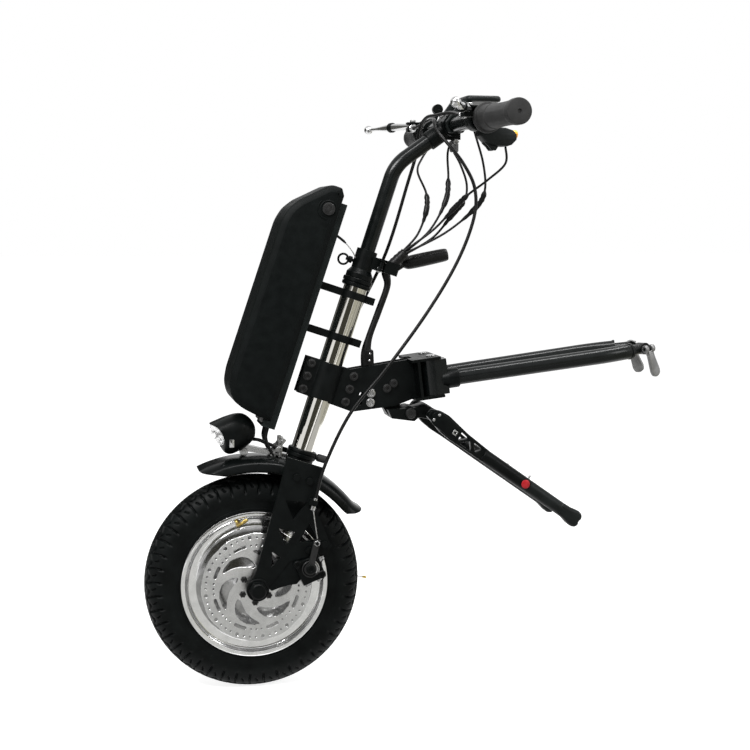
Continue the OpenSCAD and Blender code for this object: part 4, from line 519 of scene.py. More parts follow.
bright, black, spring = Shape(), Shape(), Shape()
PIVOT_X, PIVOT_Y = 80.5, -71
socket = [(5, 0), (5, 3.2), (4.6, 3.9), (3, 4), (2.8, 3.7), (2.6, 1.2), (0.3, 1.2)]
nut = [(4, 0), (4, 3), (3.4, 3.6), (0.3, 3.6)]
washer = [(6.8, 0), (6.8, 2.2), (6, 3), (3.4, 3.1), (3.1, 2.8), (2.9, 1.3), (0.3, 1.3)]
barrel = [(5.4, -2), (5.4, 2), (4.2, 2.6), (4.2, 6), (3.6, 6.8), (0.3, 6.8)]
knob = [(5.5, -3), (5.5, 2), (4.6, 2.8), (3, 2.9), (2.7, 1), (0.3, 1)]
sector = [polar(13.5, d) for d in range(-60, 50, 10)] + [polar(8.5, d) for d in range(40, -61, -10)]
coil = [(PIVOT_X + 11.5 * cos(t * 0.5), -73 - 0.5 * t / 7, 11.5 * sin(t * 0.5))
        for t in range(-2, 24)]
for base in both(CALIPER):
    pivot = base @ move(PIVOT_X, PIVOT_Y, 0)
    black.lathe(pivot @ OUT, [(15, -6), (15, -1.5), (14, -0.2), (11, 0), (10.2, 0.2)], n=48)
    black.lathe(out_at(pivot, 0, -4.4, 0), washer, n=36)
    for x, z in ((66, 13), (93, -15), (94, 14)):
        black.lathe(out_at(base, x, PIVOT_Y, z), knob)
    arm = pivot @ turn("Y", -55)
    bright.slab(pivot, rounded(sector, 1.5, 2), -3.4, -0.4, 0.6)
    bright.lathe(out_at(arm, 39, -4.5, 0), [(4.6, 0), (4.6, 2.6), (4, 3.2), (0.4, 3.2)], n=6)
    black.lathe(out_at(arm, 39, -7.6, 0), [(2.6, 0), (2.6, 2.2), (2, 2.8), (0.3, 2.8)], n=24)
    spring.sweep(base, curve(coil + [(96, -75, -9), (98, -75, -16), (88, -74, -23)], 2), 0.8, 8)
    for x in (70, 88):
        bright.lathe(base @ move(x, -62, -21.5) @ turn("X", 180), nut, n=6)
    bright.lathe(base @ move(99, -55, 4) @ ALONG, barrel, n=32, wave=knurl(14, 0.05))
make("caliper_steel", bright, "fork", STEEL)
make("caliper_black", black, "fork", PAINT)
make("caliper_springs", spring, "fork", DARK)

heads = Shape()
for base in both(COLUMN):
    for x, z in ((-9.12, -30), (11.02, -30), (42, -0.625 * FORK_LEN), (60, -0.556 * FORK_LEN)):
        heads.lathe(out_at(base, x, FORK_FACE, z), socket, n=32)
make("fork_bolt_heads", heads, "fork", PAINT)

# Mudguard
GUARD_R, GUARD_RISE, GUARD_HALF, GUARD_THICK = 168.6, 18.2, 41.9, 2.2
GUARD_REAR, GUARD_FRONT, GUARD_FLAT, GUARD_FLICK = 33, 115, 184.4, 0.07


def mudguard():
    """A domed strip round the tyre, with its ends drawn in at the edges and a flat under the fork crown."""
    along, across = 72, 40
    rings = []
    for i in range(along + 1):
        t = i / along
        outer, inner = [], []
        for k in range(across + 1):
            w = -1 + 2 * k / across
            high = (1 - abs(w) ** 3.4) ** (1 / 2.4)
            low = 1 - high
            first, last = GUARD_REAR + 3.5 * low ** 2, GUARD_FRONT - 11.5 * low ** 1.3
            angle = first + (last - first) * t
            r = GUARD_R + GUARD_RISE * high
            if 60 < angle < 75:
                r = max(r, GUARD_FLAT)
            if t < GUARD_FLICK:
                r += 5.5 * (1 - t / GUARD_FLICK) ** 2 * (0.35 + 0.65 * high)
            for loop, reach, share in ((outer, r, 1), (inner, r - GUARD_THICK, 0.955)):
                x, z = polar(reach, angle)
                loop.append((x, GUARD_HALF * w * share, z))
        rings.append(outer + inner[::-1])
    return Shape().rings(AXLE, rings)


make("mudguard_shell", mudguard(), "fork", GLOSS, ["mudguard"], sharp=48)

# Lamp
LAMP_STEPS = 20
crest = curve([(-75, 5), (-79, 17), (-88, 25.5), (-100, 29.5), (-112, 26.5), (-126, 17), (-137, 7.5),
               (-143.5, 1.5)], LAMP_STEPS)
belly = curve([(-75, 2), (-79, -9), (-88, -20.5), (-96, -28.5), (-103, -32.5), (-109, -32.4), (-113.5, -30),
               (-117.5, -26.5)], LAMP_STEPS)
width = [6, 17, 24, 28, 29.3, 29.8, 29.5, 28.8]


def lamp_ring(i, scale=1.0, push=0.0, n=56):
    """The section at a share of the way from the back (0) to the rim (7), with its sides set back."""
    low = min(int(i), 6)
    t = i - low
    top, foot = crest[round(LAMP_STEPS * i)], belly[round(LAMP_STEPS * i)]
    w = width[low] * (1 - t) + width[low + 1] * t
    mid, up = (top + foot) / 2, (top - foot) / 2
    front = Vector((-1, 0)).lerp(Vector((-0.66, -0.75)), max(0.0, min(1.0, (i - 3) / 3)))
    ring = []
    for a in turns(n):
        c, s = bulge(cos(a), 0.82), bulge(sin(a), 0.82)
        p = mid + up * s * scale + front * (push - 9.5 * max(0.0, i - 3) / 4 * c * c)
        ring.append((p.x, w * c * scale, p.y))
    return ring


turned_in = ((7, 0.965, 0.3), (7, 0.93, -1.5), (7, 0.9, -9), (6, 0.75, -14), (5, 0.3, -16))
bonnet = [lamp_ring(i / 4) for i in range(29)] + [lamp_ring(*r) for r in turned_in]
make("lamp_bonnet", Shape().rings(COLUMN, bonnet), "lamp", PAINT, ["lamp_housing"], sharp=45)
slopes = [t * 0.19 for t in range(8)]
dome = [lamp_ring(7, 0.925, -3.5)]
dome += [lamp_ring(7, 0.92 * cos(t), -2.5 + 6.5 * sin(t)) for t in slopes]
make("lamp_glass", Shape().rings(COLUMN, dome), "lamp", LENS, ["lamp_lens"], sharp=60)
bowl = [lamp_ring(7, 0.9 * cos(t), -4.2 - 9 * sin(t)) for t in slopes]
make("lamp_bowl", Shape().rings(COLUMN, bowl), "lamp", MIRROR, sharp=60)
tag = rounded([(-109, -20.5), (-102.6, -18.4), (-106, -7.4), (-112.4, -9.5)], 0.8, 3)
make("lamp_plate", Shape().slab(COLUMN, tag, -30.4, -27.6, 0.4), "lamp", ALLOY)
fixing = Shape()
wing = rounded([(-47, -17), (-42, -17), (-30, 12), (-35, 14)], 1.5, 3)
brace = rounded([(-33, -16), (-28, -16), (-36, 15), (-41, 13)], 1.5, 3)
for base in both(COLUMN):
    fixing.lathe(out_at(base, -84, -8.3, -22.5), [(6.2, 0), (6.2, 3), (5.5, 4), (3, 4.2), (0.3, 4.2)], n=6)
    fixing.slab(base, wing, -15.5, -13, 0.5)
    fixing.slab(base, brace, -12.6, -10.6, 0.5)
    fixing.lathe(out_at(base, -38, -15.2, -4), [(5, 0), (5, 2.6), (4.4, 3.4), (0.3, 3.4)], n=6)
fixing.lathe(out_at(COLUMN, -84, 9, -22.5), [(5.4, 0), (5.4, 18)], n=32)
make("lamp_bolt", fixing, "fork", STEEL)
flex = curve([(-78, -4, -2), (-68, -6, 0), (-56, -9, -1), (-46, -10, -2), (-36, -8, -8)], 6)
cord = make("lamp_cable", Shape().sweep(COLUMN, flex, 2.6, 12), None, JACKET)
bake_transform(cord)

# Battery
CASE_BACK, CASE_DEEP, CASE_FOOT, CASE_LEN = -64.5, 76.9, 33, 350.9
LOCK_X, LOCK_Z = -81.4, 349
shares = [(0, 0.972), (0.08, 1), (0.3, 1), (0.78, 0.9), (0.92, 0.855), (0.985, 0.8), (1, 0.15), (0.96, 0.09),
          (0.82, 0.04), (0.57, 0.019), (0.12, 0.002), (0, 0.002)]
case = rounded([(CASE_BACK - CASE_DEEP * x, CASE_FOOT + CASE_LEN * z) for x, z in shares],
               [4, 4, 30, 40, 40, 60, 60, 40, 40, 60, 30, 8], 6)
skin = [(9.5, 44.9), (8.8, 44.75), (1.8, 41.2), (0.8, 40.3), (0.2, 38.9), (0, 37), (0, 1.0), (0.9, 0.8),
        (0.9, 0)]
levels = [(d, -y) for d, y in skin] + [(d, y) for d, y in skin[-2::-1]]
make("battery_case", Shape().plate(COLUMN, case, levels), "battery", SHELL, ["battery_shells"], sharp=24)
boss = COLUMN @ move(LOCK_X, -44.7, LOCK_Z)
groove_ring = [(12.6, -2), (12.6, 0.4), (11.8, 1.0), (11.2, 0.9), (11.0, 0.2), (9.4, 0.1), (9.2, -1)]
trim = Shape().lathe(boss @ OUT, groove_ring, n=48)
rib = [polar(15.5, d) for d in range(150, 285, 9)]
trim.sweep(boss, [(x, -0.4, z) for x, z in rib], 0.9, 8)
make("lock_surround", trim, "battery", SHELL)
key = COLUMN @ move(LOCK_X, -45.2, LOCK_Z)
plug = [(8, -10), (8, 0.4), (8.8, 0.6), (9, 2.4), (8.4, 3.1), (4.6, 3.2), (4.4, 2.6), (0.4, 2.6)]
lock = Shape().lathe(key @ OUT, plug, n=48)
lock.slab(key, rounded([(-0.9, -3.4), (0.9, -3.4), (0.9, 3.4), (-0.9, 3.4)], 0.6, 3), -2.9, -2.5, 0.1)
make("lock_barrel", lock, "battery_lock", DARK, ["battery_lock"])
shoe = rounded([(-79.5, 28.8), (-62, 23.5), (-60.5, 28), (-63, 34), (-79, 36)], 2, 3)
make("battery_shoe", Shape().slab(COLUMN, shoe, -22, 22, 1.5), "frame", SATIN)

# Headset, collar and steering parts
stack = Shape()
cup = [(17.6, 6), (19.6, 6), (21.4, 4.8), (21.8, 3.4), (21.8, 0.6), (21, 0), (20.6, -0.4), (21, -0.9),
       (22, -1.4), (22, -6.2), (21.3, -7), (18.8, -7), (18.8, -1), (17.6, -1)]
for z, way in ((0, 0), (HEAD_LEN, 180)):
    stack.lathe(COLUMN @ move(0, 0, z) @ turn("X", way), cup, n=64, closed=True)
make("headset_rings", stack, "frame", PAINT, ["headset_cups"], sharp=35)
band = [(15.4, -1.5), (17.2, -1.5), (17.6, -1), (17.6, 1.2), (17, 1.8), (15.4, 1.8)]
collar = Shape().lathe(COLUMN @ move(0, 0, 271.5), band, n=56, closed=True)
make("collar_ring", collar, "fork", STEEL)
small = [(4.2, 0), (4.2, 3), (3.6, 3.6), (2.2, 3.7), (2, 1.6), (0.3, 1.6)]
large = [(5, 0), (5, 3.4), (4.4, 4), (2.4, 4.1), (2.2, 2), (0.3, 2)]
bolts = Shape().lathe(out_at(COLUMN, 22.5, -13.2, 291), small)
bolts.lathe(COLUMN @ move(22.5, 12, 298) @ FLIP @ OUT, large)
make("collar_bolts", bolts, "fork", STEEL)


# Frame bolts
def bolted(places):
    """Socket heads on washers, on both faces of the clamp plates at each place."""
    shape = Shape()
    for place in places:
        for base in both(place):
            shape.lathe(out_at(base, 0, -13, 0), socket, n=32)
            shape.lathe(out_at(base, 0, -13, 0), [(6.4, 0), (6.4, 0.8), (5.8, 1.1)], n=32)
    return shape


clamp_places = [COLUMN @ move(x, 0, z) for z in (91.15, 110.95, 130.75) for x in (-30, 36.5)]
clamp_places += [HINGE @ move(x, 0, z) for x, z in ((-32.24, -3.04), (-43.16, -9.12))]
mount_places = [WHEEL @ move(x, 0, z) for x, z in ((176.995, 432.982), (176.02, 418.998))]
make("bracket_bolts", bolted(clamp_places), "frame", DARK, ["frame_fasteners"])
make("mount_bolts", bolted(mount_places), "frame", STEEL)
pins, stubs = Shape(), Shape()
pin = [(4.9, 0), (4.9, 30), (7.4, 30.2), (7.4, 31.8), (6.6, 32.4), (0.4, 32.4)]
stub = [(4.9, 0), (4.9, 25.6), (7.9, 25.8), (7.9, 28.4), (7, 29.4), (3.4, 29.5), (3.2, 28), (0.3, 28)]
for base in both(HINGE):
    for end in (0, 180):
        pins.lathe(base @ move(26, -23, 0) @ turn("X", end), pin, n=36)
for base in both(WHEEL @ move(*STAND_AT)):
    stubs.lathe(base @ OUT, stub, n=36)
make("hinge_pins", pins, "frame", STEEL)
make("stand_pins", stubs, "frame", DARK)
bumper = [(4.2, 0), (4.2, 3), (5.6, 3.2), (5.8, 4.2), (5.8, 15.5), (5, 17.4), (3, 18.2), (0.4, 18.4)]
stop = Shape().lathe(COLUMN @ move(21.5, 0, -0.5) @ ALONG, bumper, n=36)
make("stop_bolt", stop, "frame", GRIP)


# Grips, levers and bar fittings
def flute(a, h):
    """The shallow grooves along the middle of a grip."""
    return 1 - (0.018 * max(0.0, cos(14 * a)) if 128 < h < 196 else 0.0)


grips, adjusters, perch = Shape(), Shape(), Shape()
grip = [(11.2, 92), (18.6, 92), (20.6, 92.8), (21, 94), (21, 97), (20.4, 98), (18.2, 98.6), (17.6, 100),
        (17.4, 122), (17.2, 124), (16.4, 125), (16.4, 127), (16.7, 128.5), (16, 150), (15.9, 175),
        (16.2, 194), (16.4, 197), (17.2, 199), (17.5, 202), (17.5, 211), (16.9, 213), (15.4, 213.4),
        (3, 213.4), (2.6, 211.5), (0.4, 211.5)]
adjuster = [(3, -2), (5.6, 0), (5.6, 7), (4.4, 7.6), (4.4, 9.4), (5.2, 10), (5.2, 15.5), (4, 16.6), (3.4, 18),
            (0.4, 18)]
pivot_head = [(4.6, -1), (4.6, 1.4), (4, 2), (2.4, 2.1), (2.2, 0.8), (0.3, 0.8)]
clamp_head = [(4, -2), (4, 1.6), (3.4, 2.2), (2, 2.3), (1.8, 1), (0.3, 1)]
for side in SIDES:
    grips.lathe(bar_end(side) @ OUT, grip, n=56, wave=flute)
    base = bar_end(side, 78)
    adjusters.lathe(base @ move(-25.5, 0, 6) @ turn("X", -90), adjuster, n=40, wave=knurl(20, 0.05))
    perch.lathe(base @ move(-23, -8, 18.2), pivot_head, n=28)
    perch.lathe(base @ move(4, -8, 15.2), clamp_head, n=28)
make("grip_sleeves", grips, "handlebar", GRIP, ["grips"], sharp=40)
make("cable_adjusters", adjusters, "handlebar", ALLOY, sharp=45)
make("perch_screws", perch, "handlebar", STEEL)

LEVER_LEN, LEVER_BACK, BALL_R = 121, 7, 7


def lever_ring(t, n=24):
    """The section of a brake lever at a share of the way from its pivot to its ball."""
    y = LEVER_BACK - LEVER_LEN * t
    x = -3.0 * sin(pi * t) + 1.5 * t
    w = 6.2 - 1.9 * t + 1.2 * sin(pi * min(1, 1.4 * t))
    h = 2.6 + 3.2 * sin(pi * min(1, 1.15 * t)) ** 1.5
    return [(x + w * bulge(cos(a), 0.7), y, h * bulge(sin(a), 0.7)) for a in turns(n)]


sheath = [(6, 0), (7.6, 0.6), (7.9, 2), (7.9, 7), (7.6, 8.4), (6, 9)]
ball = [(BALL_R * sin(t), -BALL_R * cos(t)) for t in (0.06 + 3.02 * k / 20 for k in range(21))]
for side in SIDES:
    base = bar_end(side, 86) @ move(-23, 0, 11) @ turn("Z", -28)
    blade = Shape().rings(base, [lever_ring(i / 24) for i in range(25)])
    blade.lathe(base @ move(0, -120, 0), ball, n=32)
    lever = f"brake_lever_{side}"
    make(f"lever_blade_{side}", blade, lever, ALLOY, [lever], sharp=50)
    sleeve = Shape().lathe(out_at(base, -2.6, -48, 0), sheath, n=32)
    make(f"lever_sleeve_{side}", sleeve, lever, PAINT)

LEVEL = BAR @ turn("X", -90)
pod = rounded([(14, -40), (62, -40), (68, -34), (68, 34), (62, 40), (14, 40)], [10, 12, 12, 12, 12, 10], 5)
crown = [(3.5, -42), (2.8, -41.9), (0.8, -40.2), (0, -38), (0, -36), (1.2, -34), (4, -33)]
display = Shape().plate(LEVEL, pod, crown)
strap = rounded([(-11, -12), (11, -12), (15, -4), (15, 10), (24, 33.5), (30, 36), (30, 38), (10, 38),
                 (-6, 16), (-15, 4), (-15, -4)], 4, 4)
for base in both(BAR):
    display.slab(base, strap, -36, -29, 1.2, [circle(0, 0, 11.15, 40)])
make("display_pod", display, "handlebar", PLASTIC, ["display"])
pane = rounded([(17.5, -36), (60, -36), (64.5, -31), (64.5, 31), (60, 36), (17.5, 36)], 6, 5)
glass = Shape().plate(LEVEL, pane, [(0.4, -42.1), (0, -41.7), (0, -39)])
make("display_pane", glass, "handlebar", SCREEN)

switch = Shape()
base = bar_end("left", 40)
box = rounded([(2, -9), (40, -10.5), (51, -14), (56.3, -19), (56.3, -27), (49, -34), (42, -36.3), (24, -36.3),
               (12, -32), (2, -22)], 3, 4)
clip = rounded([(8, -30), (16, -37), (20, -42), (26, -42), (30, -36)], 1.5, 3)
switch.slab(base, box, -23.8, -0.2, 3.2)
switch.slab(base, circle(0, 0, 15.6, 44), -22, -2, 1.5, [circle(0, 0, 11.2, 44)])
for y in (-18, -6):
    switch.slab(base, clip, y - 2, y + 2, 0.6)
make("switch_case", switch, "handlebar", PLASTIC, ["switch_box"])
horn = [(5.9, -6), (5.9, 1.6), (5.4, 2.8), (4, 3.6), (2, 3.9), (0.3, 4)]
button = Shape().lathe(base @ move(56.5, -12, -19.1) @ ALONG, horn, n=36)
make("horn_cap", button, "horn_button", AMBER, ["horn_button"])
drum = [(0.5, 0), (4.8, 0), (6, 0.7), (6.5, 2), (6.5, 12), (5.8, 13.4), (4.6, 14), (4.6, 18)]
buzzer = Shape().lathe(BAR @ move(6.5, 0, -38), drum, n=44)
buzzer.slab(BAR, rounded([(1, -21.5), (12, -21.5), (12, -24.5), (1, -24.5)], 1, 3), -8, 8, 0.6)
make("buzzer_body", buzzer, "handlebar", BUZZ, ["buzzer"])
bits = Shape().lathe(out_at(BAR, 6.5, -8, -23), [(4.4, 0), (4.4, 2.6), (3.8, 3.2), (0.3, 3.2)], n=6)
cap_head = [(3.6, -2), (3.6, 1.8), (3.2, 2.3), (2, 2.4), (1.8, 1), (0.3, 1)]
for x, y in ((-9, -15), (9, -15), (-9, 15), (9, 15)):
    bits.lathe(BAR @ move(x, y, 15.6), cap_head, n=28)
make("bar_bolts", bits, "handlebar", STEEL)

# Stand and docking levers
LEG_Y, LEG_RISE, PIPE_X, WINDOW = -55, 10, 118, (73.4, 81.8)


def arc(x, z, r, start):
    """The round end of a cover, from an angle in radians."""
    return [(x + r * cos(start + 0.2 * k), z + r * sin(start + 0.2 * k)) for k in range(17)]


trusses, lids, studs = Shape(), Shape(), Shape()
truss = rounded([(13, 9), (14, 22), (28, 27.6), (42, 28.6), (62, 25.4), (80, 22.6), (124, 19.8), (124, 0.4),
                 (84, 0.2), (62, -0.4), (44, 1.2), (28, 6)], [5, 6, 20, 30, 40, 60, 1, 1, 60, 40, 30, 20], 5)
corners = ([(71, 19.6), (87, 17.6), (73, 6)], [(76, 3.8), (101, 3.8), (90, 15.4)],
           [(95, 16.8), (114, 16), (105, 6)])
openings = [rounded(c, 1.6, 3) for c in corners]
capsule = arc(30, 15.5, 11.6, 1.5) + arc(61, 12.6, 10.6, -1.65)
pad = rounded([(57.4, 9), (64.6, 9), (64.6, 16.2), (57.4, 16.2)], 0.8, 3)
split = [polar(10, d) for d in (24.8, *range(32, 329, 8), 335.2)]
split += [polar(7.7, d) for d in (327, *range(320, 39, -8), 33)]
knuckle = [(5.2, 0), (9.4, 0), (10, 0.8), (10, 33.2), (9.4, 34), (5.2, 34)]
yoke = rounded([(2, 9), (14, 24), (38, 27), (44, 14), (20, 4), (9, -4), (7, 7)], 4, 4)
bridge = rounded([(26, 12), (26, 26), (42, 27), (44, 14)], 3, 4)
pipe_parts = ([(7.7, 0), (9.2, 0), (9.9, 0.8), (10, 2), (10, WINDOW[0]), (7.7, WINDOW[0])],
              [(7.7, WINDOW[1]), (10, WINDOW[1]), (10, 85), (9.6, 86), (7.7, 86)])
trusses.lathe(out_at(STAND, 0, 17, 0), knuckle, n=48, closed=True)
trusses.slab(STAND, yoke, -17, 17, 1.5)
trusses.slab(STAND, bridge, -52, 52, 1)
for base in both(STAND):
    trusses.slab(base, truss, -61.9, -48.1, 1.8, openings)
    pipe = base @ move(PIPE_X, LEG_Y, LEG_RISE)
    for part in pipe_parts:
        trusses.lathe(pipe @ ALONG, part, n=44, closed=True)
    trusses.plate(pipe @ turn("Z", -90), split, [(0, y) for y in WINDOW])
    lids.slab(base, capsule, -64.4, -61.4, 1.4)
    studs.slab(base, pad, -67.4, -64.2, 0.6, [circle(61, 12.6, 1.7, 16)])
    for x, z in ((27, 21), (24, 10.5)):
        studs.lathe(out_at(base, x, -64.2, z), [(2.2, 0), (2, 0.9), (1.4, 1.3), (0.3, 1.4)], n=20)
    studs.lathe(base @ move(199, LEG_Y, 19.4), [(1.6, 0), (1.6, 5.4), (1.2, 6), (0.2, 6)], n=16)
make("stand_trusses", trusses, "stand", PAINT, ["stand_frame"])
make("stand_covers", lids, "stand", PAINT)
make("stand_studs", studs, "stand", STEEL)


def keyway(a, h):
    """The flat along the leg that clears the release button."""
    return min(1.0, 5.2 / (7.45 * max(0.1, -sin(a)))) if 8.1 < h < 75.1 else 1.0


tube = [(6.8, 0), (7.45, 0.8), (7.45, 8), (7.45, 8.2), (7.45, 75), (7.45, 75.2), (7.45, 77), (9.6, 78),
        (9.95, 79), (9.95, 142), (10, 146)]
boot = rounded([(262, -9.6), (276, -10), (288, -12.6), (296, -13), (302, -10), (303.6, -5), (301.6, -0.5),
                (303.4, 5), (300, 11), (293, 12.8), (280, 10.4), (262, 9.6)], 6, 5)
boot_levels = [(6, -9.8), (3, -9.2), (1, -7.6), (0, -5), (0, 5), (1, 7.6), (3, 9.2), (6, 9.8)]
cap = [(3.9, 7.9), (3.9, 12.5), (6.4, 12.6), (6.5, 13), (5.6, 13.6), (3, 13.95), (0.3, 14)]
for side in SIDES:
    base = STAND @ SIDES[side]
    leg = Shape().lathe(base @ move(126.5, LEG_Y, LEG_RISE) @ ALONG, tube, n=56, wave=keyway)
    leg.plate(base @ move(0, LEG_Y, LEG_RISE), boot, boot_levels)
    make(f"stand_tube_{side}", leg, f"stand_leg_{side}", PLASTIC, [f"stand_leg_{side}"], sharp=40)
    press = Shape().lathe(out_at(base, 195.6, LEG_Y, LEG_RISE), cap, n=36)
    make(f"stand_press_{side}", press, f"stand_button_{side}", RED, [f"stand_button_{side}"])

ARM_ROOT, ARM_SLANT, ARM_REACH = (44, -33, -5), 2, 626
ARM_BEND, ARM_BEND_R, ARM_TIP = 22, 160, 54
bend_run = ARM_BEND_R * sin(radians(ARM_BEND))
bend_rise = ARM_BEND_R * (1 - cos(radians(ARM_BEND)))
arm_run = (ARM_REACH - HINGE_AT[0]) / cos(radians(ARM_RISE)) - ARM_ROOT[0] - bend_run - ARM_TIP
roller = [(2.6, 0), (5.4, 0), (5.9, 0.6), (5.9, 5.2), (5.4, 5.8), (2.6, 5.8)]
paddle = rounded([(-6.4, -3), (6.4, -3), (6.6, -14), (8.8, -36), (7.4, -43), (0, -46), (-7.4, -43),
                  (-8.8, -36), (-6.6, -14)], [1, 1, 8, 8, 6, 6, 6, 8, 8], 4)
cam_levels = [(2.2, -3), (0.8, -2.6), (0, -1.6), (0, 1.2), (0.8, 2.4), (2.4, 2.9)]
taper = [(11.6, 0), (14.4, 8.4), (14.8, 9.4), (14.6, 24), (13.4, 25.4), (11.6, 25.6)]
roots = {side: HINGE @ SIDES[side] @ move(*ARM_ROOT) @ turn("Z", -ARM_SLANT) for side in SIDES}
for side, root in roots.items():
    spigot = root @ move(bend_run + arm_run, bend_rise) @ turn("Z", ARM_BEND) @ move(26.5, -14.4, 0)
    cam = Shape()
    for x in (-9, 3.2):
        cam.lathe(spigot @ move(x, 0, 0) @ ALONG, roller, n=36, closed=True)
    cam.plate(spigot @ turn("Y", -14), paddle, cam_levels)
    make(f"cam_paddle_{side}", cam, f"docking_lever_{side}", SATIN, [f"docking_lever_{side}"], sharp=40)
for side, root in roots.items():
    cuff = Shape().lathe(root @ move(-8, 0, 0) @ ALONG, taper, n=48)
    make(f"arm_collar_{side}", cuff, f"arm_{side}", PAINT)

# Cables and leads
ROUTE_STEPS, CABLE_R, WIRE_R, LEAD_R = 8, 2.5, 0.9, 1.7
CABLE_LEFT = [(279, 137.5, 831), (282, 110, 834), (283, 60, 838), (279, 20, 836), (273, -6, 832),
              (271, -30, 816), (284, -46, 796), (304, -56, 768), (320, -60, 733), (318, -64, 690),
              (293, -66, 627), (249, -66, 555), (189, -66, 475), (135, -68, 411), (98, -72, 340),
              (84, -72, 292), (79.5, -72, 277)]
CABLE_RIGHT = [(279, -137.5, 831), (281, -110, 834), (280, -70, 839), (270, -34, 838), (262, 0, 836),
               (257, 24, 818), (258, 38, 790), (246, 44, 745), (212, 42, 640), (165, 40, 545), (130, 42, 470),
               (112, 56, 410), (98, 72, 340), (84, 72, 292), (79.5, 72, 277)]
INNER = [(79.5, 72, 277), (82, 73, 256), (85.5, 73.4, 231.3)]


def bend(name, shape, material, hides=()):
    """A cord set in place on no body, standing for the CAD nodes that it hides."""
    obj = make(name, shape, None, material, hides, sharp=60)
    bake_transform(obj)


def cut(points, first, last):
    """The stretch of a route between two of its points, with the rest kept for its bends."""
    return curve(points, ROUTE_STEPS)[first * ROUTE_STEPS:last * ROUTE_STEPS + 1]


for name, route, high, low in (("left", CABLE_LEFT, 5, 11), ("right", CABLE_RIGHT, 5, 9)):
    upper = Shape().sweep(WHEEL, cut(route, 0, high), CABLE_R)
    middle = Shape().sweep(WHEEL, cut(route, high, low), CABLE_R)
    lower = Shape().sweep(WHEEL, cut(route, low, len(route) - 1), CABLE_R)
    bend(f"cable_{name}_top", upper, JACKET,
         ["brake_cables"] if name == "left" else ())
    bend(f"cable_{name}_mid", middle, JACKET, ())
    bend(f"cable_{name}_low", lower, JACKET, ())
wires = Shape()
for base in (WHEEL @ FLIP, WHEEL):
    wires.sweep(base, curve(INNER, 6), WIRE_R, 8)
    end = aim(INNER[0], Vector(CABLE_RIGHT[-2]) - Vector(CABLE_RIGHT[-1]))
    wires.lathe(base @ end, [(2.6, -4), (3.6, -3.4), (3.6, 6), (3.1, 7), (2.7, 14), (2.5, 14)], n=24)
tail = curve([INNER[-1], (92, 74, 216), (118, 74, 182), (150, 74, 150), (170, 73.4, 138), (181, 73, 135)], 6)
wires.sweep(WHEEL, tail, WIRE_R, 8)
crimp = Shape().sweep(WHEEL, [tail[-1] + k * Vector((3, 0, -0.4)) for k in range(3)], 1.8, 12)
make("cable_wires", wires, "fork", STEEL)
make("cable_crimp", crimp, "fork", BRASS)

BOOT_TOP, BOOT_LOW = (232, 4, 640), (204, 6, 612)
BOOT_AXIS = Vector((sqrt(0.5), 0, sqrt(0.5)))
LEADS = [
    [(302, 125, 805), (280, 96, 782), (262, 50, 760), (268, 20, 727), (266, 12, 700), (252, 8, 666)],
    [(322, 24.5, 857.5), (320, 25.5, 826), (303, 25.5, 792), (303, 24, 750), (296, 12, 716), (270, 6, 672)],
    [(346, -124, 788), (352, -104, 766), (336, -70, 744), (316, -40, 724), (300, -20, 704), (272, -4, 672)],
    [(305, 0, 786.5), (314, -5, 768), (322, -10, 740), (318, -12, 716), (300, -8, 694), (274, 0, 662)],
    [(322, -24, 857.5), (326, -30, 822), (340, -34, 770), (344, -30, 730), (332, -20, 704), (290, -6, 668)]]


def lead_radius(k):
    """A lead's radius at a step along its lower half, which has a ribbed plug on it."""
    t = k / ROUTE_STEPS
    if 0.1 < t < 0.75:
        return 3.9 + 0.35 * cos(k * pi)
    if 0.75 <= t < 1.15:
        return 4.2
    return 2.7 if 1.15 <= t < 1.5 else LEAD_R


for i, (points, order) in enumerate(zip(LEADS, (0, 4, 1, 3, 2))):
    a = radians(60 + 72 * order)
    spoke = cos(a) * Vector((0, 1, 0)) + sin(a) * Vector((-BOOT_AXIS.z, 0, BOOT_AXIS.x))
    last = Vector(BOOT_TOP) + 0.4 * BOOT_AXIS + 3.5 * spoke
    route = points + [tuple(last)]
    upper = Shape().sweep(WHEEL, cut(route, 0, 3), LEAD_R, 10)
    bend(f"lead_{i}_top", upper, JACKET,
         ["control_leads"] if i == 0 else ())
    rest = cut(route, 3, 6)
    lower = Shape().sweep(WHEEL, rest, [lead_radius(k) for k in range(len(rest))], 12)
    make(f"lead_{i}_low", lower, "fork", JACKET, (), sharp=60)
trunk = curve([(*BOOT_TOP, 6.5), (218, 5, 626, 8), (*BOOT_LOW, 7), (205, 4, 590, 5), (191, 2, 552, 5),
               (177, 0, 516, 5), (172, 0, 492, 7.5), (172, 0, 470, 7.5)], ROUTE_STEPS)
branch = curve([(*BOOT_LOW, 4.5), (220, 20, 614, 4.5), (238, 24, 623, 4.5), (242, 24, 624, 10),
                (292, 26, 634, 10), (302, 26, 636, 8.5)], ROUTE_STEPS)
ribs = [q[3] + (0.7 if k < 18 and k % 3 == 0 else 0.0) for k, q in enumerate(trunk)]
loom = Shape().sweep(WHEEL, trunk, ribs, 20).sweep(WHEEL, branch, [q[3] for q in branch], 20)
bend("wiring_loom", loom, JACKET, ["harness"])
wrap = rounded([(166, 471), (183, 471), (182, 497), (168, 498)], [1, 1, 4, 4], 4)
make("loom_sleeve", Shape().slab(WHEEL, wrap, -9, 9, 2.5), "frame", JACKET)
rivets = Shape()
for base in both(WHEEL):
    for x, z in ((176.5, 491), (175.5, 481)):
        rivets.lathe(out_at(base, x, -8.9, z), [(1.7, -0.6), (1.7, 0.3), (1.2, 0.7), (0.2, 0.8)], n=18)
make("loom_rivets", rivets, "frame", STEEL)
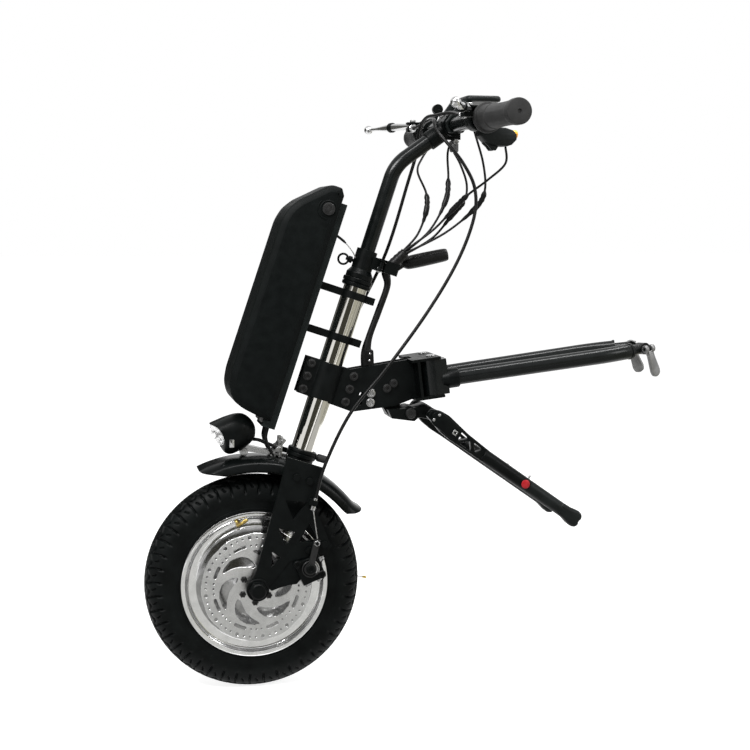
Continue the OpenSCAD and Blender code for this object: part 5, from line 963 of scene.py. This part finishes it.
for i, y in enumerate((-14, 12, 19)):
    lead = Shape().sweep(WHEEL, curve([(23, y, 386.5), (20, y, 372), (24, y, 358), (31, y, 345)], 8), 2.4, 10)
    bend(f"motor_lead_{i}", lead, JACKET, ())

line = curve([(121, -8, 670), (128, -8, 664), (139, -8, 655), (150, -7, 642), (156, -5, 632),
              (161, -3, 626)], 8)
lanyard = Shape().sweep(WHEEL, line, 0.8, 10)
bend("pin_lanyard", lanyard, STEEL, ())
ferrule = Shape().sweep(WHEEL, line[:18], [2.6] * 8 + [1.9] * 8 + [1.4] * 2, 14)
make("lanyard_ferrule", ferrule, "frame", JACKET)


# Floor, world and lights
WHITE, WORLD_LIGHT, FLOOR_GREY, FLOOR_GLOW = (1, 1, 1, 1), 0.4, 0.5, 0.84


def blank(owner):
    """The emptied node tree of a world or a material."""
    owner.use_nodes = True
    owner.node_tree.nodes.clear()
    return owner.node_tree


def by_ray(tree, lit, seen, output):
    """One shader lights the object, and another is what the camera and reflections see."""
    path, pick = add(tree, "LightPath"), add(tree, "MixShader")
    first, second = add(tree, "Math"), add(tree, "Math")
    second.use_clamp = True
    wire(path, "Is Camera Ray", first, 0)
    wire(path, "Is Glossy Ray", first, 1)
    wire(first, 0, second, 0)
    wire(path, "Is Transmission Ray", second, 1)
    wire(second, 0, pick, "Fac")
    wire(lit, 0, pick, 1)
    wire(seen, 0, pick, 2)
    wire(pick, 0, add(tree, output), "Surface")


world = bpy.data.worlds.new("studio")
bpy.context.scene.world = world
tree = blank(world)
soft = add(tree, "Background", Color=WHITE, Strength=WORLD_LIGHT)
by_ray(tree, soft, add(tree, "Background", Color=WHITE), "OutputWorld")

ground = bpy.data.materials.new("pale_floor")
tree = blank(ground)
plain = add(tree, "BsdfDiffuse", Color=(FLOOR_GREY, FLOOR_GREY, FLOOR_GREY, 1))
lifted = add(tree, "AddShader")
wire(plain, 0, lifted, 0)
wire(add(tree, "Emission", Strength=FLOOR_GLOW), 0, lifted, 1)
by_ray(tree, plain, lifted, "OutputMaterial")


def card(name, size, matrix, material):
    """A flat sheet of the studio, which is no part of the object."""
    mesh = bpy.data.meshes.new(name)
    w, h = size[0] / 2, size[1] / 2
    mesh.from_pydata([(-w, -h, 0), (w, -h, 0), (w, h, 0), (-w, h, 0)], [], [(0, 1, 2, 3)])
    mesh.materials.append(material)
    obj = new_object(name, mesh)
    obj.matrix_world = matrix
    return obj


card("floor", (60, 60), move(0, 0, -0.0005), ground)


def lamp(name, place, target, size, power):
    """A softbox that faces a target."""
    data = bpy.data.lights.new(name, "AREA")
    data.shape = "RECTANGLE"
    data.size, data.size_y = size
    data.energy = power
    new_object(name, data).matrix_world = aim(place, Vector(target) - Vector(place), "-Z")


lamp("key", (-1.5, -1.5, 2.3), (0, 0, 0.4), (1.4, 0.5), 80)
lamp("fill", (2.0, -1.8, 1.4), (0, 0, 0.4), (0.6, 1.8), 25)
lamp("strip", (0.3, -0.3, 2.2), (0.1, 0, 0.4), (2.4, 0.22), 40)


def grey_card(name, place, target, size, tone):
    """A card that only reflections see, for the bands on the bright metal."""
    mat = bpy.data.materials.new(name)
    tree = blank(mat)
    wire(add(tree, "Emission", Color=(*tone, 1)), 0, add(tree, "OutputMaterial"), "Surface")
    flag = card(name, size, aim(place, Vector(target) - Vector(place)), mat)
    flag.visible_camera = flag.visible_diffuse = flag.visible_shadow = flag.visible_transmission = False


grey_card("card_far_left", (-1.3, 0.55, 0.75), (-0.1, 0, 0.6), (1.9, 1.3), (0.15, 0.15, 0.14))
grey_card("card_high", (-1.3, -1.2, 1.4), (-0.1, 0, 0.9), (1.9, 0.75), (0.12, 0.12, 0.11))
grey_card("card_back", (-0.9, 1.9, 0.6), (-0.1, 0, 0.5), (1.5, 1.5), (0.04, 0.04, 0.04))
grey_card("card_near", (-0.55, -2.4, 0.6), (-0.55, 0, 0.6), (2.2, 1.1), (0.06, 0.058, 0.045))
grey_card("card_right", (1.5, -1.9, 0.6), (0.3, 0, 0.6), (1.9, 1.3), (0.52, 0.51, 0.42))
grey_card("card_floor", (-0.2, -0.94, 0.012), (-0.2, -0.94, 1), (1.9, 1.72), (0.62, 0.62, 0.6))
grey_card("card_aside", (1.5, 0.7, 0.012), (1.5, 0.7, 1), (1.5, 5.0), (0.56, 0.55, 0.47))

# Camera
CAMERA_AT, AZIMUTH, ELEVATION = (-0.48375, -2.0497, 0.6787), radians(-12), radians(6)
camera = bpy.data.cameras.new("camera")
camera.lens = 68.1
camera.sensor_width = 36
view = new_object("camera", camera)
level = cos(ELEVATION)
view.matrix_world = aim(CAMERA_AT, (sin(AZIMUTH) * level, -cos(AZIMUTH) * level, sin(ELEVATION)))
bpy.context.scene.camera = view
bpy.context.scene.view_settings.view_transform = "Standard"
